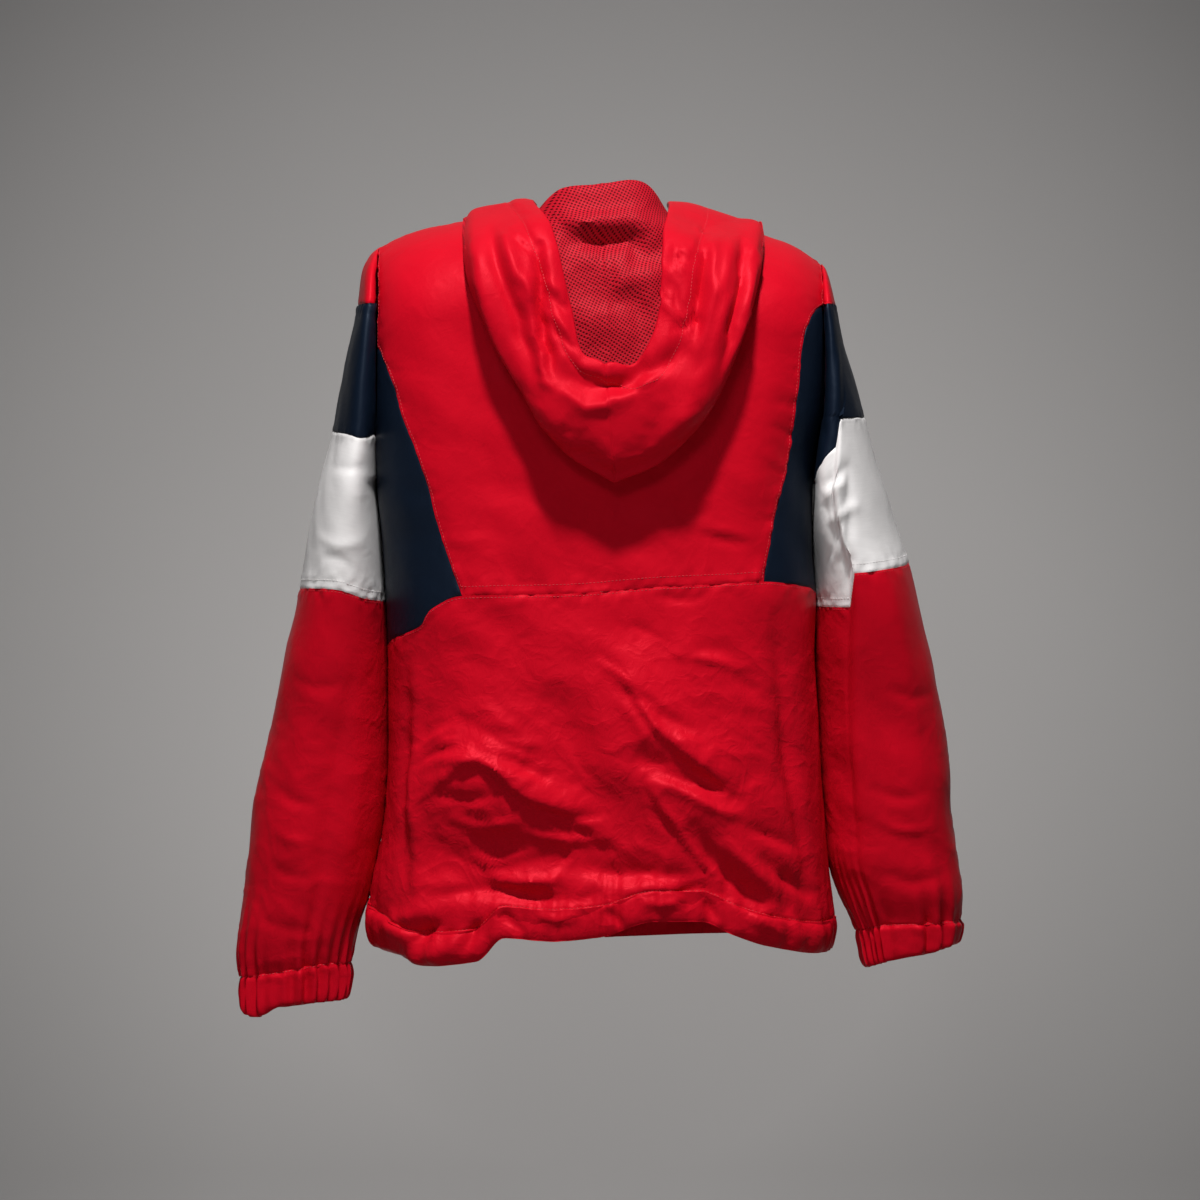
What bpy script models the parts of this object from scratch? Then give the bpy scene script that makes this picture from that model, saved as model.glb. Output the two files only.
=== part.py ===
"""Hooded windbreaker jacket, filled out as if worn, with its hood down over the back.

The jacket faces +Y, so the back with the hood is on the -Y side and the wearer's right is +X.
The origin is the middle of the neck at the height of the shoulders.
Tables and sizes below are in millimetres; meshes are made in metres.
"""
import math

import bmesh
import bpy
import numpy as np

for old in list(bpy.data.objects):
    bpy.data.objects.remove(old, do_unlink=True)

MM = 0.001
CLOTH = 1.5  # wall of a shell panel
LINING = 1.0  # wall of the mesh lining and of the zip tape
INSET = 0.2  # each sewn edge stops this far short of its seam line
LEAST_SLANT = 0.15  # where a seam runs steeply across the panel, the edge moves further along it
LEFT = -1
RIGHT = 1
BACK = -1
FRONT = 1


def table(names, rows):
    """Columns of a table by name; the first column is the key, in rising order."""
    rows = sorted(rows)
    return {name: np.array([row[i] for row in rows], float) for i, name in enumerate(names.split())}


def smooth(tab, name, at):
    """A column's value at a key, on a smooth curve through the rows."""
    keys = next(iter(tab.values()))
    values = tab[name]
    slopes = np.gradient(values, keys)
    at = np.clip(at, keys[0], keys[-1])
    i = np.clip(np.searchsorted(keys, at, side="right") - 1, 0, len(keys) - 2)
    span = keys[i + 1] - keys[i]
    t = (at - keys[i]) / span
    a = values[i] * (1 + 2 * t) * (1 - t) ** 2 + values[i + 1] * t * t * (3 - 2 * t)
    return a + span * (slopes[i] * t * (1 - t) ** 2 - slopes[i + 1] * t * t * (1 - t))


def straight(tab, name, at):
    """A column's value at a key, on straight lines through the rows."""
    keys = next(iter(tab.values()))
    return np.interp(at, keys, tab[name])


# --- the body of the jacket -------------------------------------------------------------------

# Level sections of the body: half widths to the left and right, depths to the back and front,
# and the power of the rounded oblong.
BODY = table("z left right back front power", [
    (40, 210, 209, 114, 110, 5.0),
    (-110, 210, 207, 116, 112, 5.0),
    (-175, 210, 204, 119, 117, 4.8),
    (-215, 209, 198, 120, 120, 4.4),
    (-250, 207, 194, 121, 122, 4.1),
    (-300, 202, 194, 123, 126, 3.7),
    (-350, 199, 197, 126, 128, 3.4),
    (-400, 197, 196, 128, 130, 3.2),
    (-450, 197, 199, 130, 131, 3.0),
    (-520, 198, 203, 132, 133, 2.9),
    (-570, 204, 207, 133, 134, 2.8),
    (-615, 213, 211, 133, 134, 2.8),
    (-650, 214, 214, 131, 132, 2.8),
    (-700, 206, 206, 126, 128, 2.8),
])
RIDGE = table("x z", [
    (-206, -25), (-180, -12), (-130, 0), (-85, 8), (0, 12),
    (85, 8), (120, -3), (148, -12), (183, -26), (203, -40),
])
SHOULDER_DROP = 90  # the shoulders turn from the ridge into the back and front over this height
SHOULDER_RUN = 162  # and over this length of cloth
NECK_HALF = 85
NECK_BACK = 75  # cloth from the ridge line down to the neckline at the back
NECK_FRONT = 143
FRONT_EDGE = 5  # the fronts stop this far from the middle, beside the zip


def body_width(x, z):
    return np.where(np.asarray(x) < 0, smooth(BODY, "left", z), smooth(BODY, "right", z))


def body_depth(face, z):
    return smooth(BODY, "back" if face < 0 else "front", z)


def body_at(x, s, face):
    """The body's surface at x, a length of cloth s down from the shoulder ridge."""
    x, s = np.broadcast_arrays(np.asarray(x, float), np.asarray(s, float))
    turn = np.clip(s / SHOULDER_RUN, -1, 1) * math.pi / 2
    drop = SHOULDER_DROP * (1 - np.cos(turn)) + np.clip(s - SHOULDER_RUN, 0, None)
    z = smooth(RIDGE, "z", x) - drop
    power = smooth(BODY, "power", z)
    ratio = np.clip(np.abs(x) / body_width(x, z), 0, 0.99999)
    y = face * body_depth(face, z) * (1 - ratio ** power) ** (1 / power) * np.sin(turn)
    return np.stack([x, y, z], -1)


def cloth_down(x, z):
    """Length of cloth from the ridge down to the height z."""
    drop = np.clip(smooth(RIDGE, "z", x) - z, 0, None)
    turned = SHOULDER_RUN * 2 / math.pi * np.arccos(1 - np.clip(drop / SHOULDER_DROP, 0, 1))
    return np.where(drop < SHOULDER_DROP, turned, SHOULDER_RUN + drop - SHOULDER_DROP)


def ring(angle, z):
    """The body's surface at a direction from the middle, in degrees from +X, and a height."""
    angle = np.radians(np.asarray(angle, float))
    z = np.broadcast_to(np.asarray(z, float), angle.shape)
    along = np.abs(np.cos(angle))
    across = np.abs(np.sin(angle))
    sign = np.where(np.cos(angle) < 0, -1.0, 1.0)
    face_depth = np.where(np.sin(angle) < 0, body_depth(BACK, z), body_depth(FRONT, z))
    power = smooth(BODY, "power", z)
    width = body_width(sign, z)
    reach = width
    for _ in range(6):
        x = np.clip(reach * along, 0, width)
        drop = np.clip(smooth(RIDGE, "z", x * sign) - z, 0, SHOULDER_DROP)
        close = np.sqrt(np.clip(1 - (1 - drop / SHOULDER_DROP) ** 2, 1e-6, 1))
        reach = ((along / width) ** power + (across / (face_depth * close)) ** power) ** (-1 / power)
    return np.stack([reach * np.cos(angle), reach * np.sin(angle), z], -1)


def direction(point):
    """Direction of a point from the middle, in degrees from +X."""
    return np.degrees(np.arctan2(point[..., 1], point[..., 0]))


# Armholes: a level at the top, at the underarm and where the edge leaves its upright plane,
# and the distance of that plane from the middle.
ARMHOLE = {
    LEFT: {"top": -25, "bottom": -240, "turn": -160, "plane": 206},
    RIGHT: {"top": -40, "bottom": -240, "turn": -160, "plane": 203},
}
# Stations round the armhole from the ridge (0) to the underarm (180). The cap of the sleeve ends
# at the fourth and the upper sleeve at the seventh or eighth.
STATIONS = {
    LEFT: [0, 20, 40, 59.5, 81, 104, 127, 145, 163, 180],
    RIGHT: [0, 17, 34, 52, 75, 98, 121, 142, 163, 180],
}
CAP_END = 3
PANEL_CORNER = {LEFT: 4, RIGHT: 3}  # station where back, side panel and armhole meet
UPPER_END = {LEFT: 6, RIGHT: 8}  # station where the upper sleeve ends


def armhole(side, angle, face):
    """Points on the armhole's edge at station angles in degrees."""
    hole = ARMHOLE[side]
    angle = np.asarray(angle, float)
    middle = (hole["top"] + hole["bottom"]) / 2
    z = middle + (hole["top"] - middle) * np.cos(np.radians(angle))
    upper = body_at(side * hole["plane"], cloth_down(side * hole["plane"], z), face)
    fall = np.clip((hole["turn"] - z) / (hole["turn"] - hole["bottom"]), 0, 1)
    y = upper[..., 1] * np.sqrt(1 - fall ** 2)
    power = smooth(BODY, "power", z)
    ratio = np.abs(y) / body_depth(face, z)
    below = body_width(side, z) * (1 - ratio ** power) ** (1 / power)
    x = side * np.where(fall > 0, np.minimum(below, hole["plane"] * (1 - fall) + below * fall), hole["plane"])
    return np.stack([x, y, z], -1)


# Princess seams: distance from the middle by height. The front seams mirror the back ones.
PRINCESS = {
    LEFT: table("z x", [
        (-116, 206), (-130, 200), (-154, 190), (-179, 183), (-220, 167),
        (-250, 157), (-275, 151), (-304, 142), (-346, 127),
    ]),
    RIGHT: table("z x", [
        (-78, 203), (-84, 196), (-98, 188), (-113, 184), (-155, 180), (-181, 177),
        (-224, 171), (-266, 160), (-333, 147),
    ]),
}
PRINCESS_STEPS = {LEFT: 6, RIGHT: 7}
# The waist seam round the body: height by direction.
WAIST = table("direction z", [
    (-180, -394), (-167, -388), (-149, -374), (-146, -360), (-137.3, -346), (-103, -344),
    (-69, -338), (-47, -335), (-37, -333), (-21, -338), (0, -345), (90, -352), (180, -394),
])
# The hem: height of its lower edge by direction, and how tall the casing is there.
HEM = table("direction z tall", [
    (-180, -664, 40), (-160, -672, 34), (-147, -683, 31), (-134, -679, 30), (-125, -657, 29),
    (-110, -660, 29), (-90, -656, 29), (-70, -642, 28), (-55, -642, 28), (-45, -655, 28),
    (-36, -665, 28), (-20, -673, 29), (0, -670, 30), (40, -663, 29), (90, -667, 29),
    (140, -661, 29), (180, -664, 40),
])
CASING_OUT = 3.0


# --- closed cloth panels ----------------------------------------------------------------------

def material(name, colour, roughness, metallic=0.0):
    mat = bpy.data.materials.new(name)
    mat.use_nodes = True
    shader = mat.node_tree.nodes["Principled BSDF"]
    shader.inputs["Base Color"].default_value = (*colour, 1)
    shader.inputs["Roughness"].default_value = roughness
    shader.inputs["Metallic"].default_value = metallic
    return mat


RED = (0.56, 0.006, 0.018)
NAVY = (0.010, 0.020, 0.045)
WHITE = (0.78, 0.74, 0.73)
MESH_RED = (0.60, 0.012, 0.030)
TAPE_RED = (0.45, 0.008, 0.018)
METAL = (0.55, 0.55, 0.56)


def add_object(name, vertices, faces, mat):
    """A mesh object from millimetre points, cleaned and facing outward."""
    mesh = bpy.data.meshes.new(name)
    mesh.from_pydata([tuple(v * MM) for v in np.asarray(vertices, float)], [], faces)
    build = bmesh.new()
    build.from_mesh(mesh)
    bmesh.ops.remove_doubles(build, verts=build.verts, dist=0.00001)
    bmesh.ops.dissolve_degenerate(build, dist=0.00001, edges=build.edges)
    bmesh.ops.triangulate(build, faces=build.faces)
    bmesh.ops.recalc_face_normals(build, faces=build.faces)
    if build.calc_volume(signed=True) < 0:
        bmesh.ops.reverse_faces(build, faces=build.faces)
    build.to_mesh(mesh)
    build.free()
    obj = bpy.data.objects.new(name, mesh)
    obj.data.materials.append(mat)
    bpy.context.scene.collection.objects.link(obj)
    return obj


def normals_of(grid):
    """Normals of a grid of points, from its own rows and columns."""
    down = np.gradient(grid, axis=0)
    across = np.gradient(grid, axis=1)
    normal = np.cross(across, down)
    length = np.linalg.norm(normal, axis=-1, keepdims=True)
    return normal / np.maximum(length, 1e-9)


def drawn_in(grid, sides, inset=INSET):
    """The grid with the named edges moved inward by the seam inset."""
    grid = grid.copy()
    pairs = {
        "top": ((0, slice(None)), (1, slice(None))),
        "bottom": ((-1, slice(None)), (-2, slice(None))),
        "left": ((slice(None), 0), (slice(None), 1)),
        "right": ((slice(None), -1), (slice(None), -2)),
    }
    for side in sides.split():
        edge, inner = pairs[side]
        step = grid[inner] - grid[edge]
        length = np.maximum(np.linalg.norm(step, axis=-1, keepdims=True), 1e-9)
        along = np.gradient(grid[edge], axis=0)
        along = along / np.maximum(np.linalg.norm(along, axis=-1, keepdims=True), 1e-9)
        slant = np.linalg.norm(np.cross(along, step / length), axis=-1, keepdims=True)
        move = inset / np.maximum(slant, LEAST_SLANT)
        grid[edge] = grid[edge] + step * np.minimum(move / length, 0.3)
    return grid


def short_diagonals(grid):
    """For each quad of a grid, whether its diagonal from the first corner is the shorter one."""
    first = np.linalg.norm(grid[1:, 1:] - grid[:-1, :-1], axis=-1)
    second = np.linalg.norm(grid[1:, :-1] - grid[:-1, 1:], axis=-1)
    return first <= second


ALL_SIDES = "top bottom left right"


def panel(name, grid, normal, mat, wall=CLOTH, sides=ALL_SIDES, inset=INSET, diagonals=None):
    """A closed panel: the grid is its outer face, and its wall lies on the inner side."""
    diagonals = short_diagonals(grid) if diagonals is None else diagonals
    outer = drawn_in(grid, sides, inset)
    inner = outer - normal * wall
    rows, columns = outer.shape[:2]
    count = rows * columns
    points = np.concatenate([outer.reshape(-1, 3), inner.reshape(-1, 3)])
    number = np.arange(count).reshape(rows, columns)
    faces = []
    for i in range(rows - 1):
        for j in range(columns - 1):
            quad = [int(k) for k in (number[i, j], number[i, j + 1], number[i + 1, j + 1], number[i + 1, j])]
            quad = quad if diagonals[i, j] else quad[1:] + quad[:1]
            for part in (quad[:3], [quad[0], quad[2], quad[3]]):
                faces.append(part)
                faces.append([k + count for k in reversed(part)])
    rim = list(number[0, :]) + list(number[1:, -1]) + list(number[-1, -2::-1]) + list(number[-2:0:-1, 0])
    for k, here in enumerate(rim):
        quad = [int(rim[(k + 1) % len(rim)]), int(here)]
        quad += [quad[1] + count, quad[0] + count]
        far = [np.linalg.norm(points[quad[a]] - points[quad[a + 2]]) for a in (0, 1)]
        quad = quad if far[0] <= far[1] else quad[1:] + quad[:1]
        faces += [quad[:3], [quad[0], quad[2], quad[3]]]
    return add_object(name, points, faces, mat)


def coons(top, bottom, left, right):
    """A grid filled in between four edges that meet at the corners."""
    u = np.linspace(0, 1, len(top))[None, :, None]
    v = np.linspace(0, 1, len(left))[:, None, None]
    ruled = (1 - v) * top[None] + v * bottom[None] + (1 - u) * left[:, None] + u * right[:, None]
    upper = (1 - u) * (1 - v) * top[0] + u * (1 - v) * top[-1]
    lower = (1 - u) * v * bottom[0] + u * v * bottom[-1]
    return ruled - upper - lower


def outward(grid, normal, centre):
    """The normals turned so that they face away from a centre line."""
    away = ((grid - centre) * normal).sum(-1).mean()
    return normal if away > 0 else -normal


def differences(surface, a, b, step_a, step_b):
    """Normals of a surface given by two coordinates."""
    da = surface(a + step_a, b) - surface(a - step_a, b)
    db = surface(a, b + step_b) - surface(a, b - step_b)
    normal = np.cross(da, db)
    return normal / np.maximum(np.linalg.norm(normal, axis=-1, keepdims=True), 1e-9)


# --- stations shared by the body's panels ------------------------------------------------------

SIDE_STEPS = {side: len(STATIONS[side]) - 1 - PANEL_CORNER[side] for side in (LEFT, RIGHT)}
SHOULDER_STEPS = 3
NECK_STEPS = 4  # from the middle of the back to the neck point
FRONT_STEPS = 5  # from the neck point to the front edge


def princess_points(side, face):
    """Points down a princess seam, from the armhole's corner to the waist seam."""
    corner = armhole(side, STATIONS[side][PANEL_CORNER[side]], face)
    keys = next(iter(PRINCESS[side].values()))
    end_z = keys[0]
    z = np.linspace(0, 1, PRINCESS_STEPS[side] + 1) ** 1.15 * (end_z - corner[2]) + corner[2]
    x = side * smooth(PRINCESS[side], "x", z)
    x[0] = corner[0]
    points = body_at(x, cloth_down(x, z), face)
    if face < 0:
        end = direction(points[-1])
        z[-1] = straight(WAIST, "z", end)
    else:
        z = z + (straight(WAIST, "z", direction(points[-1])) - z[-1]) * np.linspace(0, 1, len(z))
        x = side * smooth(PRINCESS[side], "x", z)
        x[0] = corner[0]
    return body_at(x, cloth_down(x, z), face)


def waist_stations():
    """Directions of the columns round the waist, panel by panel from the front left edge."""
    ends = {(s, f): direction(princess_points(s, f)[-1]) for s in (LEFT, RIGHT) for f in (BACK, FRONT)}
    edge = math.degrees(math.atan2(body_depth(FRONT, -350), FRONT_EDGE))
    return {
        "back": np.linspace(ends[LEFT, BACK], ends[RIGHT, BACK], 2 * SHOULDER_STEPS + 2 * NECK_STEPS + 1),
        "side_left_back": np.linspace(-180, ends[LEFT, BACK], SIDE_STEPS[LEFT] + 1),
        "side_left_front": np.linspace(ends[LEFT, FRONT], 180, SIDE_STEPS[LEFT] + 1),
        "side_right_back": np.linspace(ends[RIGHT, BACK], 0, SIDE_STEPS[RIGHT] + 1),
        "side_right_front": np.linspace(0, ends[RIGHT, FRONT], SIDE_STEPS[RIGHT] + 1),
        "front_left": np.linspace(180 - edge, ends[LEFT, FRONT], SHOULDER_STEPS + FRONT_STEPS + 1),
        "front_right": np.linspace(edge, ends[RIGHT, FRONT], SHOULDER_STEPS + FRONT_STEPS + 1),
    }


AT = waist_stations()


def waist_points(angles):
    return ring(angles, straight(WAIST, "z", angles))


def neck_points(face, steps):
    """Points along the neckline in x and cloth length, from the left neck point."""
    turn = np.radians(np.linspace(0, 180 if face < 0 else 90, steps + 1))
    if face < 0:
        return -NECK_HALF * np.cos(turn), NECK_BACK * np.sin(turn)
    return -FRONT_EDGE - (NECK_HALF - FRONT_EDGE) * np.cos(turn), NECK_FRONT * np.sin(turn)


def shoulder_x(side):
    return side * np.linspace(ARMHOLE[side]["plane"], NECK_HALF, SHOULDER_STEPS + 1)


def in_cloth(points):
    """x and cloth length of points on the body."""
    return np.stack([points[:, 0], cloth_down(points[:, 0], points[:, 2])], -1)


def seam_down(side, face):
    """The edge of the back or front: armhole from the ridge, then the princess seam."""
    upper = armhole(side, STATIONS[side][:PANEL_CORNER[side] + 1], face)
    return upper, princess_points(side, face)


def edge_rows(side, face):
    upper, lower = seam_down(side, face)
    rows = np.concatenate([in_cloth(upper), in_cloth(lower)[1:]])
    rows[0, 1] = 0
    return rows


def body_panel(name, grid_xs, face, mat):
    def surface(x, s):
        return body_at(x, s, face)
    x = grid_xs[..., 0]
    s = grid_xs[..., 1]
    grid = surface(x, s)
    normal = outward(grid, differences(surface, x, s, 0.5, 0.5), np.array([0, 0, -200.0]))
    return panel(name, grid, normal, mat)


def make_back_upper():
    neck_x, neck_s = neck_points(BACK, 2 * NECK_STEPS)
    flat = np.zeros(SHOULDER_STEPS)
    x = np.concatenate([shoulder_x(LEFT)[:-1], neck_x, shoulder_x(RIGHT)[::-1][1:]])
    top = np.stack([x, np.concatenate([flat, neck_s, flat])], -1)
    bottom = in_cloth(waist_points(AT["back"]))
    rows = coons(top, bottom, edge_rows(LEFT, BACK), edge_rows(RIGHT, BACK))
    body_panel("back_upper", rows, BACK, material("red_nylon_back", RED, 0.42))


def front_edge_rows(side):
    """The front edge beside the zip, from the neckline to the waist, in x and cloth length."""
    edge = in_cloth(waist_points(AT["front_left" if side < 0 else "front_right"][:1]))[0]
    count = PANEL_CORNER[side] + PRINCESS_STEPS[side] + 1
    x = np.linspace(side * FRONT_EDGE, edge[0], count)
    return np.stack([x, np.linspace(NECK_FRONT, edge[1], count)], -1)


def make_front_upper(side, name):
    neck_x, neck_s = neck_points(FRONT, FRONT_STEPS)
    x = np.concatenate([shoulder_x(side)[:-1], -side * neck_x])
    top = np.stack([x, np.concatenate([np.zeros(SHOULDER_STEPS), neck_s])], -1)
    angles = AT["front_left" if side < 0 else "front_right"]
    bottom = in_cloth(waist_points(angles))[::-1]
    rows = coons(top, bottom, edge_rows(side, FRONT), front_edge_rows(side))
    body_panel(name, rows, FRONT, material("red_nylon_" + name, RED, 0.42))


def ring_panel(name, turned, mat):
    """A panel from directions and heights on the body."""
    angle = turned[..., 0]
    z = turned[..., 1]
    grid = ring(angle, z)
    normal = outward(grid, differences(ring, angle, z, 0.2, 0.5), np.array([0, 0, -300.0]))
    panel(name, grid, normal, mat)


def around(angle, middle):
    """The angle moved by whole turns to within half a turn of a middle direction."""
    return (np.asarray(angle) - middle + 180) % 360 - 180 + middle


def make_side(side, name):
    middle = 0 if side > 0 else 180
    corner = PANEL_CORNER[side]
    back_arc = armhole(side, STATIONS[side][corner:], BACK)
    front_arc = armhole(side, STATIONS[side][corner:], FRONT)
    arc = np.concatenate([back_arc, front_arc[-2::-1]])
    top = np.stack([around(direction(arc), middle), arc[:, 2]], -1)
    edges = []
    for face in (BACK, FRONT):
        points = princess_points(side, face)
        edges.append(np.stack([around(direction(points), middle), points[:, 2]], -1))
    key = "side_left" if side < 0 else "side_right"
    back = around(AT[key + "_back"], middle)
    front = around(AT[key + "_front"], middle)
    back = back[::-1] if side < 0 else back
    front = front[::-1] if side < 0 else front
    angles = np.concatenate([back, front[1:]])
    bottom = np.stack([angles, straight(WAIST, "z", around(angles, 0))], -1)
    ring_panel(name, coons(top, bottom, edges[0], edges[1]), material("navy_nylon_" + name, NAVY, 0.45))


def hem_top(angle):
    angle = around(angle, 0)
    return straight(HEM, "z", angle) + straight(HEM, "tall", angle)


LOWER_ROWS = 7


def make_lower(name, angles):
    """A lower panel from the waist seam to the hem casing."""
    angles = np.asarray(angles)
    v = np.linspace(0, 1, LOWER_ROWS)[:, None]
    top = straight(WAIST, "z", around(angles, 0))[None]
    bottom = hem_top(angles)[None]
    turned = np.stack([np.broadcast_to(angles, (LOWER_ROWS, len(angles))), top + (bottom - top) * v], -1)
    ring_panel(name, turned, material("red_nylon_" + name, RED, 0.42))


def hem_angles():
    """Stations of the casing, from the left front edge round the back to the right front edge."""
    left = np.concatenate([AT["front_left"][:-1], AT["side_left_front"][:-1]])
    back = np.concatenate([AT["side_left_back"][:-1], AT["back"][:-1], AT["side_right_back"]])
    right = np.concatenate([AT["side_right_front"][1:], AT["front_right"][::-1][1:]])
    return np.concatenate([left - 360, back, right])


# The casing's outline across its height: how far down from its top seam and how far out.
CASING = table("step down out", [
    (0, 0.0, 0.0), (1, 0.18, 0.75), (2, 0.55, 1.0), (3, 0.88, 0.7), (4, 1.0, -0.4),
    (5, 0.8, -1.5), (6, 0.4, -1.5), (7, 0.02, -0.5),
])


def swept_band(name, lines, mat, closed):
    """A band with a closed outline at each station: lines is stations by outline points."""
    stations, count = lines.shape[:2]
    faces = []
    for i in range(stations if closed else stations - 1):
        after = (i + 1) % stations
        for j in range(count):
            k = (j + 1) % count
            faces.append([i * count + j, i * count + k, after * count + k, after * count + j])
    if not closed:
        faces.append(list(range(count)))
        faces.append([(stations - 1) * count + j for j in reversed(range(count))])
    return add_object(name, lines.reshape(-1, 3), faces, mat)


def make_hem_casing():
    angles = hem_angles()
    tops = hem_top(angles) - 2 * INSET
    tall = straight(HEM, "tall", around(angles, 0))
    lines = []
    for angle, top, height in zip(angles, tops, tall):
        z = top - CASING["down"] * (height - 2 * INSET)
        base = ring(np.full(len(z), angle), z)
        flat = base[:, :2] / np.linalg.norm(base[:, :2], axis=1, keepdims=True)
        base[:, :2] += flat * (CASING["out"] * CASING_OUT)[:, None]
        lines.append(base)
    lines = np.array(lines)
    swept_band("hem_casing", lines, material("red_nylon_hem_casing", RED, 0.42), False)


# --- sleeves ----------------------------------------------------------------------------------

# The cap of each sleeve above the first colour seam: distance of the outer line by height.
CAP = {
    LEFT: table("z outer", [
        (-25, 206), (-30, 212), (-36, 216), (-44, 220), (-55, 222.5), (-68, 224), (-78, 225), (-90, 227),
    ]),
    RIGHT: table("z outer", [
        (-40, 203), (-44, 206), (-50, 208), (-60, 210.5), (-69, 212.5), (-78, 214.5), (-90, 218),
    ]),
}
# Level sections of each sleeve: outer and inner lines, half depth front to back, middle in y,
# and how far the front and back folds lean in towards the body.
SLEEVE = {
    LEFT: table("z outer inner deep middle lean", [
        (-78, 225, 199.7, 75, 0, 0), (-116, 233, 204, 84, 0, 2), (-155, 241, 206, 90, 0, 4),
        (-195, 249, 208, 94, 0, 6), (-240, 261, 211, 96, 0, 7), (-300, 272.5, 206, 91, 2, 4),
        (-350, 282, 202.5, 84, 4, 2), (-400, 293, 200, 76, 6, 0), (-450, 303, 200, 68, 8, 0),
        (-517, 318, 201, 61, 9, 0), (-565, 325, 206.5, 58, 10, 0), (-612, 331, 219, 54, 11, 0),
        (-649, 335, 230, 50, 12, 0), (-680, 336, 236, 41, 12, 0), (-697, 333, 238, 35, 12, 0),
        (-740, 331, 240, 34, 12, 0),
    ]),
    RIGHT: table("z outer inner deep middle lean", [
        (-78, 214.5, 197.3, 75, 0, 0), (-116, 224.5, 199, 84, 0, 2), (-155, 235.5, 198, 90, 0, 6),
        (-195, 246.5, 198, 94, 0, 12), (-240, 260, 198, 96, 0, 20), (-285, 274, 197, 93, 1, 18),
        (-330, 288, 198.5, 87, 3, 6), (-360, 295, 201, 82, 4, 1), (-400, 304, 201, 76, 6, 0),
        (-451, 314, 203, 67, 8, 0), (-520, 323, 207, 60, 9, 0), (-560, 327.5, 210.5, 57, 10, 0),
        (-598, 332, 214.5, 54, 11, 0), (-624, 334, 224, 50, 12, 0), (-645, 332, 234, 41, 12, 0),
        (-660, 329, 240, 36, 12, 0), (-700, 327, 246, 34, 12, 0),
    ]),
}
# Seams round each sleeve by position, from the underarm (-1) round the back fold to the outer
# line (0), then round the front fold to the underarm (1). The right sleeve's seams step down
# where the sleeve is pleated lengthwise.
SLEEVE_SEAMS = {
    LEFT: table("place cap upper band cuff end", [
        (-1, -78, -197.2, -352, -684, -719), (-0.7, -78, -202, -349, -686, -721),
        (-0.45, -78, -198, -340, -693, -724), (-0.25, -78, -196, -339, -697, -735),
        (0, -78, -194, -339, -698, -731), (0.4, -78, -195, -341, -695, -729),
        (0.7, -78, -197, -347, -688, -723), (1, -78, -197.2, -352, -684, -719),
    ]),
    RIGHT: table("place cap upper band cuff end", [
        (-1, -78.43, -235.63, -356, -655, -690), (-0.75, -78.43, -240, -356, -653, -688),
        (-0.54, -78.43, -210, -356, -651, -684), (-0.36, -78.43, -184, -326, -650, -683),
        (0, -78.43, -181, -315, -647, -668), (0.4, -78.43, -186, -322, -650, -680),
        (0.75, -78.43, -215, -345, -653, -687), (1, -78.43, -235.63, -356, -655, -690),
    ]),
}
PLACES = {
    LEFT: [-1, -0.86, -0.72, -0.58, -0.45, -0.3, -0.15, 0, 0.15, 0.3, 0.45, 0.58, 0.72, 0.86, 1],
    RIGHT: [-1, -0.86, -0.75, -0.64, -0.54, -0.36, -0.26, -0.15, 0, 0.15, 0.3, 0.45, 0.58, 0.72, 0.86, 1],
}
# The pleat of the right sleeve: where it runs round the sleeve, and how far it stands up.
PLEAT = table("z place high", [
    (-700, 0.67, 0), (-620, 0.67, 0), (-500, 0.67, 5), (-360, 0.60, 7), (-330, 0.56, 7),
    (-215, 0.46, 5), (-150, 0.45, 0), (-40, 0.45, 0),
])
PLEAT_AT = -0.45
SLEEVE_POWER = 2.2
CAP_TURN = 120  # the cap's level sections turn this far from the outer line to the armhole
CAP_LINE = -78
ARM_GAP = 0.8  # the sleeve stands this far outside the armhole's edge
SLEEVE_INSET = 0.3
SLEEVE_CLEAR = 2.0  # and this far from the body below the underarm


def armhole_edge(side, z, face):
    """The armhole's edge at a height, as distance from the middle and y."""
    hole = ARMHOLE[side]
    middle = (hole["top"] + hole["bottom"]) / 2
    cosine = np.clip((z - middle) / (hole["top"] - middle), -1, 1)
    point = armhole(side, np.degrees(np.arccos(cosine)), face)
    return np.abs(point[..., 0]), np.abs(point[..., 1])


def body_side(side, y, z):
    """Distance of the body's side wall from the middle, at y and z below the shoulder."""
    power = smooth(BODY, "power", z)
    depth = np.where(y < 0, body_depth(BACK, z), body_depth(FRONT, z))
    ratio = np.clip(np.abs(y) / depth, 0, 0.999)
    return body_width(side, z) * (1 - ratio ** power) ** (1 / power)


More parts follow.
